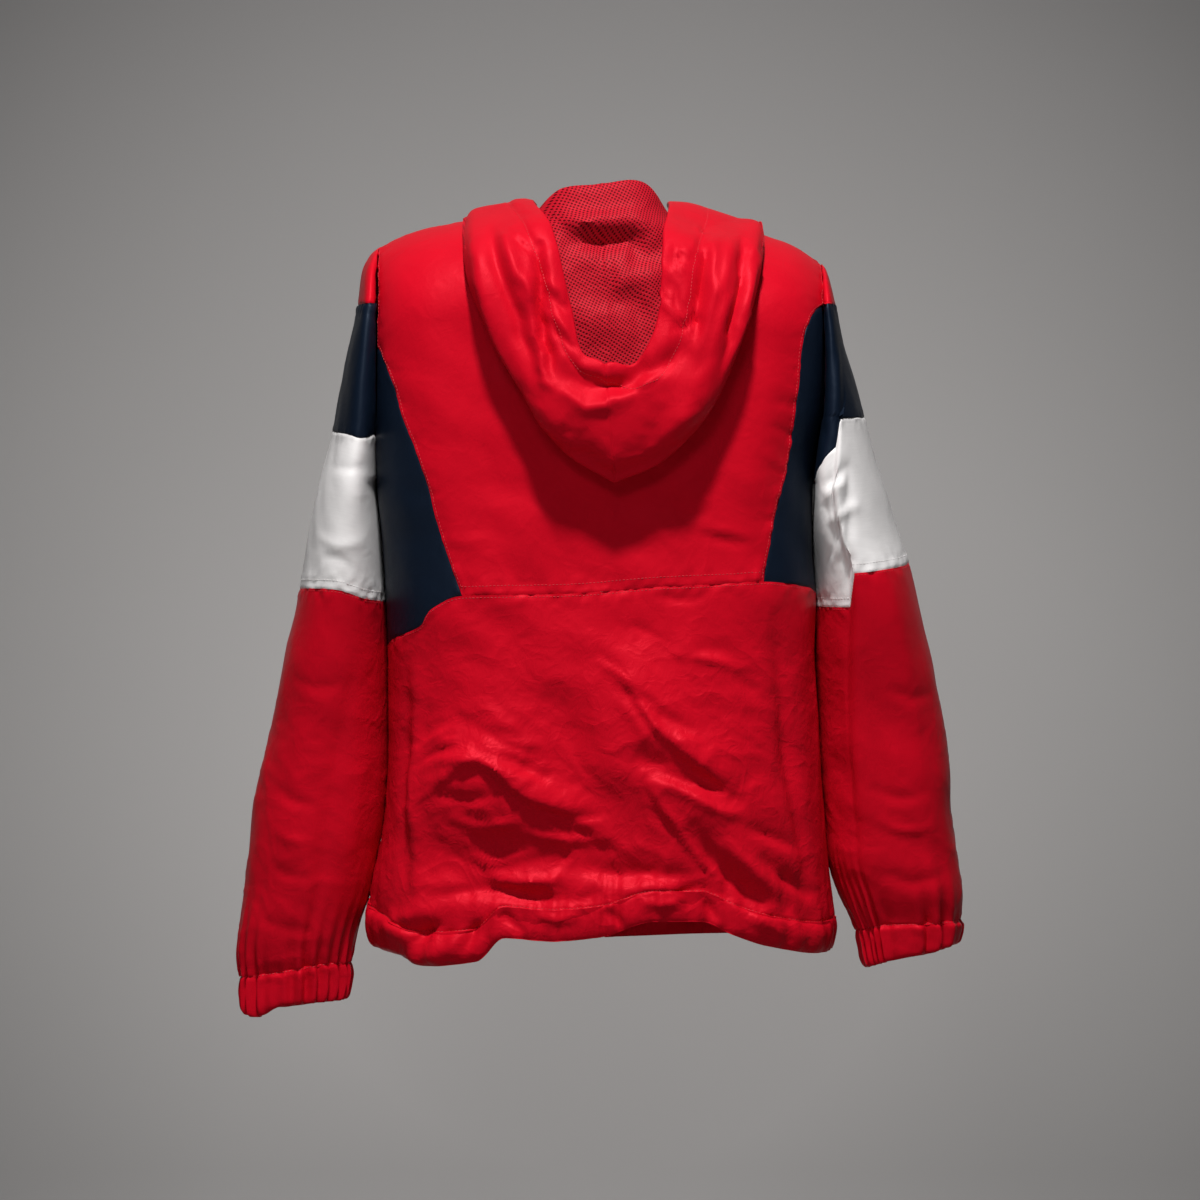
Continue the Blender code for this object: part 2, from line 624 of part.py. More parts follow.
def sleeve(side, place, z):
    """The sleeve's surface at a place round it and a height."""
    place, z = np.broadcast_arrays(np.asarray(place, float), np.asarray(z, float))
    hole = ARMHOLE[side]
    shown = place
    if side == RIGHT:
        at = -smooth(PLEAT, "place", z)
        before = -1 + (place + 1) / (PLEAT_AT + 1) * (at + 1)
        after = at * place / PLEAT_AT
        shown = np.where(place > 0, place, np.where(place < PLEAT_AT, before, after))
    back_x, back_y = armhole_edge(side, z, BACK)
    front_x, front_y = armhole_edge(side, z, FRONT)
    edge_x = np.where(place < 0, back_x, front_x)
    edge_y = np.where(place < 0, back_y, front_y)
    above = z > CAP_LINE
    outer = np.where(above, smooth(CAP[side], "outer", z), smooth(SLEEVE[side], "outer", z))
    deep = np.where(above, edge_y / math.sin(math.radians(CAP_TURN)), smooth(SLEEVE[side], "deep", z))
    cap_half = (outer - edge_x) / (1 - math.cos(math.radians(CAP_TURN)))
    half = np.where(above, cap_half, (outer - smooth(SLEEVE[side], "inner", z)) / 2)
    fold = np.clip(edge_y / np.maximum(deep, 1e-6), 0, math.sin(math.radians(CAP_TURN)))
    full = np.where(z > hole["bottom"], math.pi - np.arcsin(fold), math.pi)
    turn = shown * full
    cosine = np.sign(np.cos(turn)) * np.abs(np.cos(turn)) ** (2 / SLEEVE_POWER)
    sine = np.sign(np.sin(turn)) * np.abs(np.sin(turn)) ** (2 / SLEEVE_POWER)
    lean = smooth(SLEEVE[side], "lean", np.minimum(z, CAP_LINE))
    middle = smooth(SLEEVE[side], "middle", z)
    x = outer - half + half * cosine - lean * sine ** 2
    y = middle + deep * sine
    end_turn = full
    end_cos = -np.abs(np.cos(end_turn)) ** (2 / SLEEVE_POWER)
    end_sin = np.abs(np.sin(end_turn)) ** (2 / SLEEVE_POWER)
    end_x = outer - half + half * end_cos - lean * end_sin ** 2
    end_y = middle + np.where(place < 0, -1, 1) * deep * end_sin
    want_y = np.where(place < 0, -1, 1) * edge_y
    share = np.clip((np.abs(turn) - math.pi / 2) / np.maximum(full - math.pi / 2, 1e-6), 0, 1.1)
    pull = np.where(z > hole["bottom"], share ** 1.5, 0)
    x = x + (edge_x - end_x) * pull
    y = y + (want_y - end_y) * pull
    clear = np.interp(z, [hole["bottom"] - 25, hole["bottom"]], [SLEEVE_CLEAR, ARM_GAP])
    wall = body_side(side, y, np.minimum(z, -110)) + clear
    x = np.where(z < -110, np.maximum(x, wall), x + ARM_GAP)
    if side == RIGHT:
        lift = np.clip((place - PLEAT_AT + 0.05) / 0.1, 0, 1) * np.clip((-0.08 - place) / 0.35, 0, 1)
        y = y - smooth(PLEAT, "high", z) * lift
    return np.stack([side * x, y, z], -1)


def sleeve_rows(side, upper, lower, heights):
    """Places and heights between two seams; heights are the rows' shares of the way down."""
    place = np.array(PLACES[side])
    top = straight(SLEEVE_SEAMS[side], upper, place)
    low = straight(SLEEVE_SEAMS[side], lower, place)
    share = np.array(heights)[:, None]
    return np.broadcast_to(place, (len(heights), len(place))), top + (low - top) * share


def sleeve_normals(side, place, z, grid):
    normal = differences(lambda a, b: sleeve(side, a, b), place, z, 0.004, 0.5)
    centre = grid.mean(axis=1, keepdims=True)
    return outward(grid, normal, centre)


def shares(values):
    values = np.asarray(values, float)
    return (values - values[0]) / (values[-1] - values[0])


def make_sleeve(side, word):
    hole = ARMHOLE[side]
    middle = (hole["top"] + hole["bottom"]) / 2
    levels = middle + (hole["top"] - middle) * np.cos(np.radians(STATIONS[side]))
    seams = SLEEVE_SEAMS[side]
    end = UPPER_END[side]
    red = material("red_nylon_sleeve_cap_" + word, RED, 0.42)
    z = np.broadcast_to(levels[:CAP_END + 1, None], (CAP_END + 1, len(PLACES[side])))
    place = np.broadcast_to(np.array(PLACES[side]), z.shape)
    grid = sleeve(side, place, z)
    normal = sleeve_normals(side, place, z, grid)
    top = normal[1].mean(axis=0)
    normal[0] = top / np.linalg.norm(top)
    panel("sleeve_cap_" + word, grid, normal, red, sides="bottom left right")
    below = np.linspace(hole["bottom"], straight(seams, "band", -1.0), 5)[1:]
    band_rows = shares(np.concatenate([levels[end:], below]))
    pieces = [
        ("sleeve_upper_", "cap", "upper", shares(levels[CAP_END:end + 1]), "navy_nylon_", NAVY),
        ("sleeve_band_", "upper", "band", band_rows, "white_nylon_", WHITE),
        ("sleeve_lower_", "band", "cuff", np.linspace(0, 1, 8), "red_nylon_", RED),
    ]
    for start, upper, lower, heights, cloth, colour in pieces:
        place, z = sleeve_rows(side, upper, lower, heights)
        grid = sleeve(side, place, z)
        normal = sleeve_normals(side, place, z, grid)
        panel(start + word, grid, normal, material(cloth + start + word, colour, 0.42), inset=SLEEVE_INSET)
    place = np.array(PLACES[side])[:-1]
    upper = straight(seams, "cuff", place) - 2 * INSET
    tall = upper - straight(seams, "end", place)
    z = upper[:, None] - CASING["down"][None] * tall[:, None]
    grid = sleeve(side, np.broadcast_to(place[:, None], z.shape), z)
    centre = grid.mean(axis=(0, 1))
    flat = grid - centre
    flat[..., 2] = 0
    flat = flat / np.linalg.norm(flat, axis=-1, keepdims=True)
    grid = grid + flat * (CASING["out"] * CASING_OUT)[None, :, None]
    swept_band("cuff_" + word, grid, material("red_nylon_cuff_" + word, RED, 0.42), True)


# --- the hood, lying open down the back --------------------------------------------------------

# Sections of the hood from the middle of the back (0) to its front end beside the zip (9): the
# outer fold of the pouch, the rim of the face opening, and how far the hood stands out and up
# from the neck seam.
HOOD = {
    LEFT: table("row fold_x fold_y fold_z rim_x rim_y rim_z out up", [
        (0, 11, -150, -244, 3, -168, -137, 16, 57), (1, -38, -149, -212, -18, -164, -112, 15, 48),
        (2, -82, -144, -145, -28, -154, -76, 8, 16), (3, -123, -122, -56, -42, -134, -20, 5, 8),
        (3.5, -127, -88, -18, -50, -112, 11, 3, 6), (4, -127, -45, 3, -62, -62, 32, 3, 6),
        (5, -120, 22, 5, -62, 4, 34, 3, 7), (6, -101, 72, -6, -64, 50, 22, 3, 7),
        (7, -72, 108, -24, -50, 88, 0, 2, 7), (8, -43, 126, -42, -32, 110, -24, 2, 7),
        (9, -18, 130, -52, -12, 119, -38, 2, 6),
    ]),
    RIGHT: table("row fold_x fold_y fold_z rim_x rim_y rim_z out up", [
        (0, 11, -150, -244, 3, -168, -137, 16, 57), (1, 58, -149, -222, 26, -164, -126, 15, 54),
        (2, 102, -144, -172, 50, -158, -98, 8, 16), (3, 138, -128, -80, 56, -136, -32, 5, 8),
        (3.5, 147, -92, -36, 58, -112, 3, 3, 6), (4, 148, -50, -6, 63, -62, 29, 3, 6),
        (5, 124, 22, 5, 62, 4, 34, 3, 7), (6, 101, 72, -6, 64, 50, 22, 3, 7),
        (7, 72, 108, -24, 50, 88, 0, 2, 7), (8, 43, 126, -42, 32, 110, -24, 2, 7),
        (9, 18, 130, -52, 12, 119, -38, 2, 6),
    ]),
}
HOOD_KEYS = np.array([0, 1, 2.2, 3.5, 4, 4.5, 5.4, 6.4])  # neck, crest, two inner, fold, two outer, rim
HOOD_ROWS = [0, 0.6, 1.2, 2.0, 2.8, 3.5, 4.0, 4.4, 4.9, 5.6, 6.4]
NECK_AXIS_Y = 15
HOOD_CLEAR = 5.0
SHOULDER_REACH = 110
HOOD_PUFF = 12.0
HOOD_THICK = 16.0
LINING_GAP = 0.8
FOLD_KEY = 4.0
LINING_SHORT = 0.65  # share by which the lining stays short of the fold


def clear_of_body(points, gap):
    """Points moved out of the body, by the shorter way of back or up."""
    points = points.copy()
    for _ in range(2):
        x = points[..., 0]
        y = points[..., 1]
        z = points[..., 2] - gap
        face = np.where(y < 0, -1.0, 1.0)
        power = smooth(BODY, "power", z)
        depth = np.where(y < 0, body_depth(BACK, z), body_depth(FRONT, z)) + gap
        ratio = np.clip(np.abs(x) / body_width(x, z), 0, 0.999)
        flat = depth * (1 - ratio ** power) ** (1 / power)
        ridge = smooth(RIDGE, "z", x)
        drop = np.clip(ridge - z, 0, SHOULDER_DROP)
        wall = flat * np.sqrt(1 - (1 - drop / SHOULDER_DROP) ** 2)
        reach = np.clip(np.abs(y) / flat, 0, 1)
        top = ridge - SHOULDER_DROP * (1 - np.sqrt(1 - reach ** 2)) + gap
        inside = (np.abs(y) < wall) & (z < ridge)
        back = wall - np.abs(y)
        up = top - points[..., 2]
        use_up = inside & (up < back)
        points[..., 2] = np.where(use_up, top, points[..., 2])
        points[..., 1] = np.where(inside & ~use_up, face * wall, y)
    return points


def neck_curve(side, row):
    """The neck seam at a hood row, on the body's neckline."""
    row = np.asarray(row, float)
    turn = np.radians(90 - np.clip(row / NECK_STEPS, 0, 1) * 90)
    back = body_at(side * NECK_HALF * np.cos(turn), NECK_BACK * np.sin(turn), BACK)
    turn = np.radians(np.clip((row - NECK_STEPS) / FRONT_STEPS, 0, 1) * 90)
    width = FRONT_EDGE + (NECK_HALF - FRONT_EDGE) * np.cos(turn)
    front = body_at(side * width, NECK_FRONT * np.sin(turn), FRONT)
    return np.where((row > NECK_STEPS)[..., None], front, back)


def hood(side, row, key):
    """The outer face of the hood's shell at a section row and a key across the section."""
    row, key = np.broadcast_arrays(np.asarray(row, float), np.asarray(key, float))
    tab = HOOD[side]
    neck = neck_curve(side, row)
    out = neck - np.array([0, NECK_AXIS_Y, 0])
    out[..., 2] = 0
    out = out / np.linalg.norm(out, axis=-1, keepdims=True)
    up = np.array([0.0, 0.0, 1.0])
    start = neck + up * 0.6
    crest = neck + out * smooth(tab, "out", row)[..., None] + up * smooth(tab, "up", row)[..., None]
    fold = np.stack([smooth(tab, "fold_" + axis, row) for axis in "xyz"], -1)
    rim = np.stack([smooth(tab, "rim_" + axis, row) for axis in "xyz"], -1)
    thick = np.clip(smooth(tab, "up", row) / 36, 0.7, 1)[..., None]
    inner_one = crest + (fold - crest) * 0.42
    inner_two = crest + (fold - crest) * 0.92
    for part in (inner_one, inner_two, fold):
        part[...] = clear_of_body(part, HOOD_CLEAR)
    lean = np.clip(fold[..., 1] / SHOULDER_REACH, -1, 1)
    away = np.stack([0 * lean, lean * np.abs(lean), np.sqrt(1 - lean ** 4) + 0.2], -1)
    away = away / np.linalg.norm(away, axis=-1, keepdims=True)
    outer_two = fold + (rim - fold) * 0.1 + away * HOOD_THICK * thick
    outer_one = fold + (rim - fold) * 0.55 + away * HOOD_PUFF * (0.5 + 0.5 * thick)
    knots = np.stack([start, crest, inner_one, inner_two, fold, outer_two, outer_one, rim])
    slopes = np.gradient(knots, HOOD_KEYS, axis=0)
    i = np.clip(np.searchsorted(HOOD_KEYS, key, side="right") - 1, 0, len(HOOD_KEYS) - 2)
    span = (HOOD_KEYS[i + 1] - HOOD_KEYS[i])
    t = ((key - HOOD_KEYS[i]) / span)[..., None]
    span = span[..., None]

    def pick(values, index):
        return np.take_along_axis(values, index[None, ..., None], axis=0)[0]
    a = pick(knots, i) * (1 + 2 * t) * (1 - t) ** 2 + pick(knots, i + 1) * t * t * (3 - 2 * t)
    points = a + span * (pick(slopes, i) * t * (1 - t) ** 2 - pick(slopes, i + 1) * t * t * (1 - t))
    return np.where((key > 1.1)[..., None], clear_of_body(points, HOOD_CLEAR), points)


def hood_normals(grid):
    """Normals of the hood's outer face; beside the neck it faces away from the neck."""
    normal = normals_of(grid)
    away = grid[1, 1] - np.array([0, NECK_AXIS_Y, 0])
    return normal if normal[1, 1] @ away > 0 else -normal


def make_hood(side, word):
    row, key = np.meshgrid([0, 1, 2, 2.5, 3, 3.5, 4, 5, 6, 7, 8, 9], HOOD_ROWS)
    grid = hood(side, row, key)
    normal = hood_normals(grid)
    middle = normal[:, 0] + hood_normals(hood(-side, row, key))[:, 0]
    normal[:, 0] = middle / np.linalg.norm(middle, axis=1, keepdims=True)
    panel("hood_" + word, grid, normal, material("red_nylon_hood_" + word, RED, 0.42))
    at = HOOD_ROWS.index(FOLD_KEY)
    inside = (grid[at - 2] + grid[at + 2]) / 2
    short = grid.copy()
    for row_at, share in ((at - 1, 0.5), (at, 1.0), (at + 1, 0.5)):
        short[row_at] += (inside - grid[row_at]) * LINING_SHORT * share
    lining = short - normal * (CLOTH + LINING_GAP)
    mesh_red = material("red_mesh_hood_lining_" + word, MESH_RED, 0.6)
    panel("hood_lining_" + word, lining, normal, mesh_red, wall=LINING, diagonals=short_diagonals(grid))


# --- the closed zip down the middle of the front ------------------------------------------------

TAPE_NEAR = 1.2
TAPE_FAR = 13.0
TAPE_LOW = 4.4  # between the ends of the hem casing
CHAIN_HALF = 2.3
CHAIN_FRONT = 1.0
CHAIN_BACK = 1.4


def front_line():
    """Heights down the front edge, at the rows of the front panels and the casing."""
    upper = body_at(0.0, front_edge_rows(LEFT)[:, 1], FRONT)[:, 2]
    lower = np.linspace(upper[-1], hem_top(90.0), LOWER_ROWS)
    lower[-1] += 1
    return np.concatenate([upper, lower[1:], [hem_top(90.0) + 0.5, straight(HEM, "z", 90.0) + 2]])


def box_strip(name, near, far, front, back, mat, heights):
    """A strip down the front between two distances from the middle, each given at every height."""
    near = np.broadcast_to(near, heights.shape)
    far = np.broadcast_to(far, heights.shape)
    middle = body_at(np.zeros(len(heights)), cloth_down(0.0, heights), FRONT)
    ahead = np.gradient(middle, axis=0)
    normal = np.stack([np.zeros(len(heights)), -ahead[:, 2], ahead[:, 1]], -1)
    normal = normal / np.linalg.norm(normal, axis=1, keepdims=True)
    lines = []
    side = np.array([1.0, 0, 0])
    for here, out, one, two in zip(middle, normal, near, far):
        corners = [(one, front), (two, front), (two, -back), (one, -back)]
        lines.append([here + across * side + ahead_by * out for across, ahead_by in corners])
    return swept_band(name, np.array(lines), mat, False)


def make_zip():
    heights = front_line()
    behind = CLOTH + 0.5
    far = np.where(heights > hem_top(90.0) + 0.7, TAPE_FAR, TAPE_LOW)
    for side, word in ((LEFT, "left"), (RIGHT, "right")):
        mat = material("red_tape_" + word, TAPE_RED, 0.6)
        box_strip("zip_tape_" + word, side * TAPE_NEAR, side * far, -behind, behind + LINING, mat, heights)
    chain = material("red_zip_teeth", TAPE_RED, 0.35)
    box_strip("zip_chain", -CHAIN_HALF, CHAIN_HALF, CHAIN_FRONT, CHAIN_BACK, chain, heights)


SLIDER_Z = -84.0
SLIDER_HALF = 4.6
SLIDER_TALL = 13.0
SLIDER_THICK = 2.4
BAR_RADIUS = 0.8
BAR_HALF = 3.4
POST_OUT = 3.4
POST_WIDE = 0.9
POST_HALF = 1.2
PULL_LONG = 26.0
PULL_HALF = 3.0
PULL_THICK = 1.3
EYE_RADIUS = 1.25
EYE_OUTER = 2.3
EYE_HALF = 2.0


def box(name, low, high, mat):
    points = [(x, y, z) for z in (low[2], high[2]) for y in (low[1], high[1]) for x in (low[0], high[0])]
    faces = [(0, 2, 3, 1), (4, 5, 7, 6), (0, 1, 5, 4), (2, 6, 7, 3), (0, 4, 6, 2), (1, 3, 7, 5)]
    return add_object(name, points, faces, mat)


def bar(name, centre, radius, half, mat, sides=12):
    """A round bar along X."""
    points = []
    for x in (-half, half):
        for k in range(sides):
            turn = 2 * math.pi * k / sides
            y = centre[1] + radius * math.cos(turn)
            z = centre[2] + radius * math.sin(turn)
            points.append((centre[0] + x, y, z))
    faces = [[k, (k + 1) % sides, sides + (k + 1) % sides, sides + k] for k in range(sides)]
    faces += [list(range(sides)), [sides + k for k in reversed(range(sides))]]
    return add_object(name, points, faces, mat)


def combine(target, other, operation):
    """The target joined with or cut by another object, which is then removed."""
    step = target.modifiers.new("combine", "BOOLEAN")
    step.operation = operation
    step.solver = "EXACT"
    step.object = other
    depsgraph = bpy.context.evaluated_depsgraph_get()
    mesh = bpy.data.meshes.new_from_object(target.evaluated_get(depsgraph))
    target.modifiers.remove(step)
    target.data = mesh
    bpy.data.objects.remove(other, do_unlink=True)


def make_slider():
    metal = material("zip_slider_metal", METAL, 0.3, 1.0)
    pull_metal = material("zip_pull_metal", METAL, 0.3, 1.0)
    face = float(body_at(0.0, cloth_down(0.0, SLIDER_Z), FRONT)[1]) + CHAIN_FRONT + 0.5
    back = face + SLIDER_THICK
    low = (-SLIDER_HALF, face, SLIDER_Z - SLIDER_TALL / 2)
    slider = box("zip_slider", low, (SLIDER_HALF, back, SLIDER_Z + SLIDER_TALL / 2), metal)
    axis = (0.0, back + POST_OUT - BAR_RADIUS, SLIDER_Z)
    for side in (LEFT, RIGHT):
        near = side * (BAR_HALF - POST_WIDE)
        far = side * BAR_HALF
        post_low = (min(near, far), back - 0.5, SLIDER_Z - POST_HALF)
        post_high = (max(near, far), back + POST_OUT, SLIDER_Z + POST_HALF)
        combine(slider, box("post", post_low, post_high, metal), "UNION")
    combine(slider, bar("bar", axis, BAR_RADIUS, BAR_HALF - 0.3, metal), "UNION")
    hinge = bpy.data.objects.new("zip_pull_hinge", None)
    hinge.location = [c * MM for c in axis]
    bpy.context.scene.collection.objects.link(hinge)
    pull = bar("zip_pull", (0, 0, 0), EYE_OUTER, EYE_HALF, pull_metal, 16)
    plate_low = (-EYE_HALF, -PULL_THICK / 2, -PULL_LONG)
    combine(pull, box("plate", plate_low, (EYE_HALF, PULL_THICK / 2, -EYE_OUTER * 0.6), pull_metal), "UNION")
    wide_low = (-PULL_HALF, -PULL_THICK / 2 - 0.2, -PULL_LONG - 0.5)
    wide_high = (PULL_HALF, PULL_THICK / 2 + 0.2, -PULL_LONG * 0.42)
    combine(pull, box("wide", wide_low, wide_high, pull_metal), "UNION")
    combine(pull, bar("eye", (0, 0, 0), EYE_RADIUS, EYE_HALF + 1, pull_metal), "DIFFERENCE")
    pull.parent = hinge


make_back_upper()
for side, word in ((LEFT, "left"), (RIGHT, "right")):
    make_side(side, "side_" + word)
    make_front_upper(side, "front_upper_" + word)
back_angles = [AT["side_left_back"][:-1], AT["back"][:-1], AT["side_right_back"]]
make_lower("back_lower", np.concatenate(back_angles))
left_angles = [AT["front_left"][:-1], AT["side_left_front"]]
make_lower("front_lower_left", np.concatenate(left_angles))
right_angles = [AT["front_right"][:-1], AT["side_right_front"][::-1]]
make_lower("front_lower_right", np.concatenate(right_angles))
make_hem_casing()
for side, word in ((LEFT, "left"), (RIGHT, "right")):
    make_sleeve(side, word)
    make_hood(side, word)
make_zip()
make_slider()
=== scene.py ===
"""Hooded windbreaker jacket, filled out as if worn, with its hood down over the back.

The jacket faces +Y, so the back with the hood is on the -Y side and the wearer's right is +X.
Tables and lengths in the form's functions are in millimetres; meshes are made in metres.
"""
import math

import bpy
import numpy as np
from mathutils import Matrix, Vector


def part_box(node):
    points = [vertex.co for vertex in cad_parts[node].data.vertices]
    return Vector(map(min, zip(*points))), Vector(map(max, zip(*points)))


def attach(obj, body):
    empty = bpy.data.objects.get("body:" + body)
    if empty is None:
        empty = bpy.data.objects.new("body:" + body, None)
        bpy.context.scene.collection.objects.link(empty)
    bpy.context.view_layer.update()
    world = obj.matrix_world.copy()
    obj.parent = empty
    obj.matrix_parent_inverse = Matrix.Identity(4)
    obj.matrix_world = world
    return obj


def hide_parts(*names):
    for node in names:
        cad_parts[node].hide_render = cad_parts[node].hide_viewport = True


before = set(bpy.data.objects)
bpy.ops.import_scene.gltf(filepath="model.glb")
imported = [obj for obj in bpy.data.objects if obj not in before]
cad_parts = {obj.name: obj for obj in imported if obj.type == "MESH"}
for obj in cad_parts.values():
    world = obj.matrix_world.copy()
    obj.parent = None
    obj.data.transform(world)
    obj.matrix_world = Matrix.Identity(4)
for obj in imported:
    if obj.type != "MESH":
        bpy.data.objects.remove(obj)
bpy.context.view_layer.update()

bl_info = {
    "name": "Hooded Windbreaker Jacket",
    "version": (1, 0, 0),
    "blender": (4, 5, 0),
    "location": "3D View > Sidebar > Jacket",
    "description": "Cloth, stitching, zip and studio of a hooded windbreaker jacket",
    "category": "Add Mesh",
}

MM = 0.001
LEFT = -1
RIGHT = 1
BACK = -1
FRONT = 1
WORDS = {LEFT: "left", RIGHT: "right"}
BODY_NAME = "jacket"


def length_property(name, description, default, least, most):
    return bpy.props.FloatProperty(
        name=name, description=description, default=default, min=least, max=most, unit="LENGTH")


class JacketSizes(bpy.types.PropertyGroup):
    """Sizes of the cloth's finish."""

    wall: length_property("Cloth wall", "Thickness of the shell's nylon", 0.0007, 0.0003, 0.0015)
    cell: length_property("Cell", "Size of the cells of the cloth's mesh", 0.0034, 0.002, 0.01)
    stitch_long: length_property("Stitch length", "Length of one topstitch that shows", 0.0024, 0.001, 0.006)
    stitch_pitch: length_property("Stitch pitch", "From one topstitch to the next", 0.0034, 0.0015, 0.008)
    thread: length_property("Thread radius", "Radius of the sewing thread", 0.00028, 0.0001, 0.001)
    tooth_pitch: length_property("Tooth pitch", "Between the zip's teeth on one side", 0.0026, 0.0015, 0.006)
    crumple: bpy.props.FloatProperty(
        name="Crumple", description="Share of the scattered small creases that is kept",
        default=1.0, min=0.0, max=2.0, subtype="FACTOR")


def colour_property(name, description, default):
    return bpy.props.FloatVectorProperty(
        name=name, description=description, default=default, size=3, min=0.0, max=1.0, subtype="COLOR")


class JacketColours(bpy.types.PropertyGroup):
    """Colours of the jacket's cloth and trims."""

    red: colour_property("Red nylon", "Colour of the main cloth", (0.56, 0.003, 0.014))
    navy: colour_property("Navy nylon", "Colour of side panels and upper sleeves", (0.0035, 0.0075, 0.017))
    white: colour_property("White nylon", "Colour of the sleeve bands", (0.88, 0.85, 0.84))
    lining: colour_property("Red mesh", "Colour of the hood's mesh lining", (0.50, 0.006, 0.019))
    # The mesh hole colour is painted shade: a dark colour in the lining's holes in place of the shaded shell
    # seen through them.
    hole_shade: colour_property("Mesh hole", "Colour in the holes of the mesh lining", (0.06, 0.001, 0.002))
    thread: colour_property("Red thread", "Colour of the topstitching on red cloth", (0.66, 0.035, 0.05))
    tape: colour_property("Zip tape", "Colour of the zip's tape and teeth", (0.40, 0.004, 0.012))
    metal: colour_property("Zip metal", "Colour of the slider and its pull", (0.62, 0.62, 0.63))


def millimetres(name):
    """A size of the sidebar in millimetres."""
    return getattr(bpy.context.scene.jacket_sizes, name) / MM


def colour(name):
    """A colour of the sidebar with full alpha."""
    return (*getattr(bpy.context.scene.jacket_colours, name), 1.0)


# --- the jacket's form ---

def table(names, rows):
    """Columns of a table by name; the first column is the key, in rising order."""
    rows = sorted(rows)
    return {name: np.array([row[i] for row in rows], float) for i, name in enumerate(names.split())}


def hermite(start, end, slope, end_slope, span, t):
    """A point on the smooth curve between two knots, at a share t of the span."""
    ends = start * (1 + 2 * t) * (1 - t) ** 2 + end * t * t * (3 - 2 * t)
    return ends + span * (slope * t * (1 - t) ** 2 - end_slope * t * t * (1 - t))


def along_curve(keys, values, slopes, at):
    """Values at keys on the smooth curve with the given slopes at its knots."""
    at = np.clip(at, keys[0], keys[-1])
    i = np.clip(np.searchsorted(keys, at, side="right") - 1, 0, len(keys) - 2)
    span = keys[i + 1] - keys[i]
    return hermite(values[i], values[i + 1], slopes[i], slopes[i + 1], span, (at - keys[i]) / span)


def smooth(tab, name, at):
    """A column's value at a key, on a smooth curve through the rows."""
    keys = next(iter(tab.values()))
    return along_curve(keys, tab[name], np.gradient(tab[name], keys), at)


def soft(tab, name, at):
    """The same on a curve that never overshoots the rows."""
    keys = next(iter(tab.values()))
    rise = np.diff(tab[name]) / np.diff(keys)
    same = rise[:-1] * rise[1:] > 0
    mean = 2 * rise[:-1] * rise[1:] / np.where(same, rise[:-1] + rise[1:], 1)
    slopes = np.concatenate([rise[:1], np.where(same, mean, 0), rise[-1:]])
    return along_curve(keys, tab[name], slopes, at)


def straight(tab, name, at):
    """A column's value at a key, on straight lines through the rows."""
    keys = next(iter(tab.values()))
    return np.interp(at, keys, tab[name])


# --- the body of the jacket ---

# Level sections of the body: half widths to the left and right, depths to the back and front,
# and the power of the rounded oblong.
BODY = table("z left right back front power", [
    (40, 210, 209, 114, 110, 5.0),
    (-110, 210, 207, 116, 112, 5.0),
    (-175, 210, 204, 119, 117, 4.8),
    (-215, 209, 198, 120, 120, 4.4),
    (-250, 207, 194, 121, 122, 4.1),
    (-300, 202, 194, 123, 126, 3.7),
    (-350, 199, 197, 126, 128, 3.4),
    (-400, 197, 196, 128, 130, 3.2),
    (-450, 197, 199, 130, 131, 3.0),
    (-520, 198, 203, 132, 133, 2.9),
    (-570, 204, 207, 133, 134, 2.8),
    (-615, 213, 211, 133, 134, 2.8),
    (-650, 214, 214, 131, 132, 2.8),
    (-700, 206, 206, 126, 128, 2.8),
])
RIDGE = table("x z", [
    (-206, -25), (-180, -12), (-130, 0), (-85, 8), (0, 12),
    (85, 8), (120, -3), (148, -12), (183, -26), (203, -40),
])
SHOULDER_DROP = 90  # the shoulders turn from the ridge into the back and front over this height
SHOULDER_RUN = 162  # and over this length of cloth
NECK_HALF = 85
NECK_BACK = 75  # cloth from the ridge line down to the neckline at the back
NECK_FRONT = 143
FRONT_EDGE = 5  # the fronts stop this far from the middle, beside the zip


def unit(vectors):
    """Vectors brought to length 1."""
    return vectors / np.maximum(np.linalg.norm(vectors, axis=-1, keepdims=True), 1e-9)


def oblong(ratio, power):
    """Share of the depth at a share of the width, on a rounded oblong."""
    return (1 - ratio ** power) ** (1 / power)


def body_width(x, z):
    return np.where(np.asarray(x) < 0, smooth(BODY, "left", z), smooth(BODY, "right", z))


def body_depth(face, z):
    return smooth(BODY, "back" if face < 0 else "front", z)


def depth_at(y, z):
    """The body's depth on the side where y lies."""
    return np.where(y < 0, body_depth(BACK, z), body_depth(FRONT, z))


def body_at(x, s, face):
    """The body's surface at x, a length of cloth s down from the shoulder ridge."""
    x, s = np.broadcast_arrays(np.asarray(x, float), np.asarray(s, float))
    turn = np.clip(s / SHOULDER_RUN, -1, 1) * math.pi / 2
    drop = SHOULDER_DROP * (1 - np.cos(turn)) + np.clip(s - SHOULDER_RUN, 0, None)
    z = smooth(RIDGE, "z", x) - drop
    ratio = np.clip(np.abs(x) / body_width(x, z), 0, 0.99999)
    y = face * body_depth(face, z) * oblong(ratio, smooth(BODY, "power", z)) * np.sin(turn)
    return np.stack([x, y, z], -1)


def cloth_down(x, z):
    """Length of cloth from the ridge down to the height z."""
    drop = np.clip(smooth(RIDGE, "z", x) - z, 0, None)
    turned = SHOULDER_RUN * 2 / math.pi * np.arccos(1 - np.clip(drop / SHOULDER_DROP, 0, 1))
    return np.where(drop < SHOULDER_DROP, turned, SHOULDER_RUN + drop - SHOULDER_DROP)


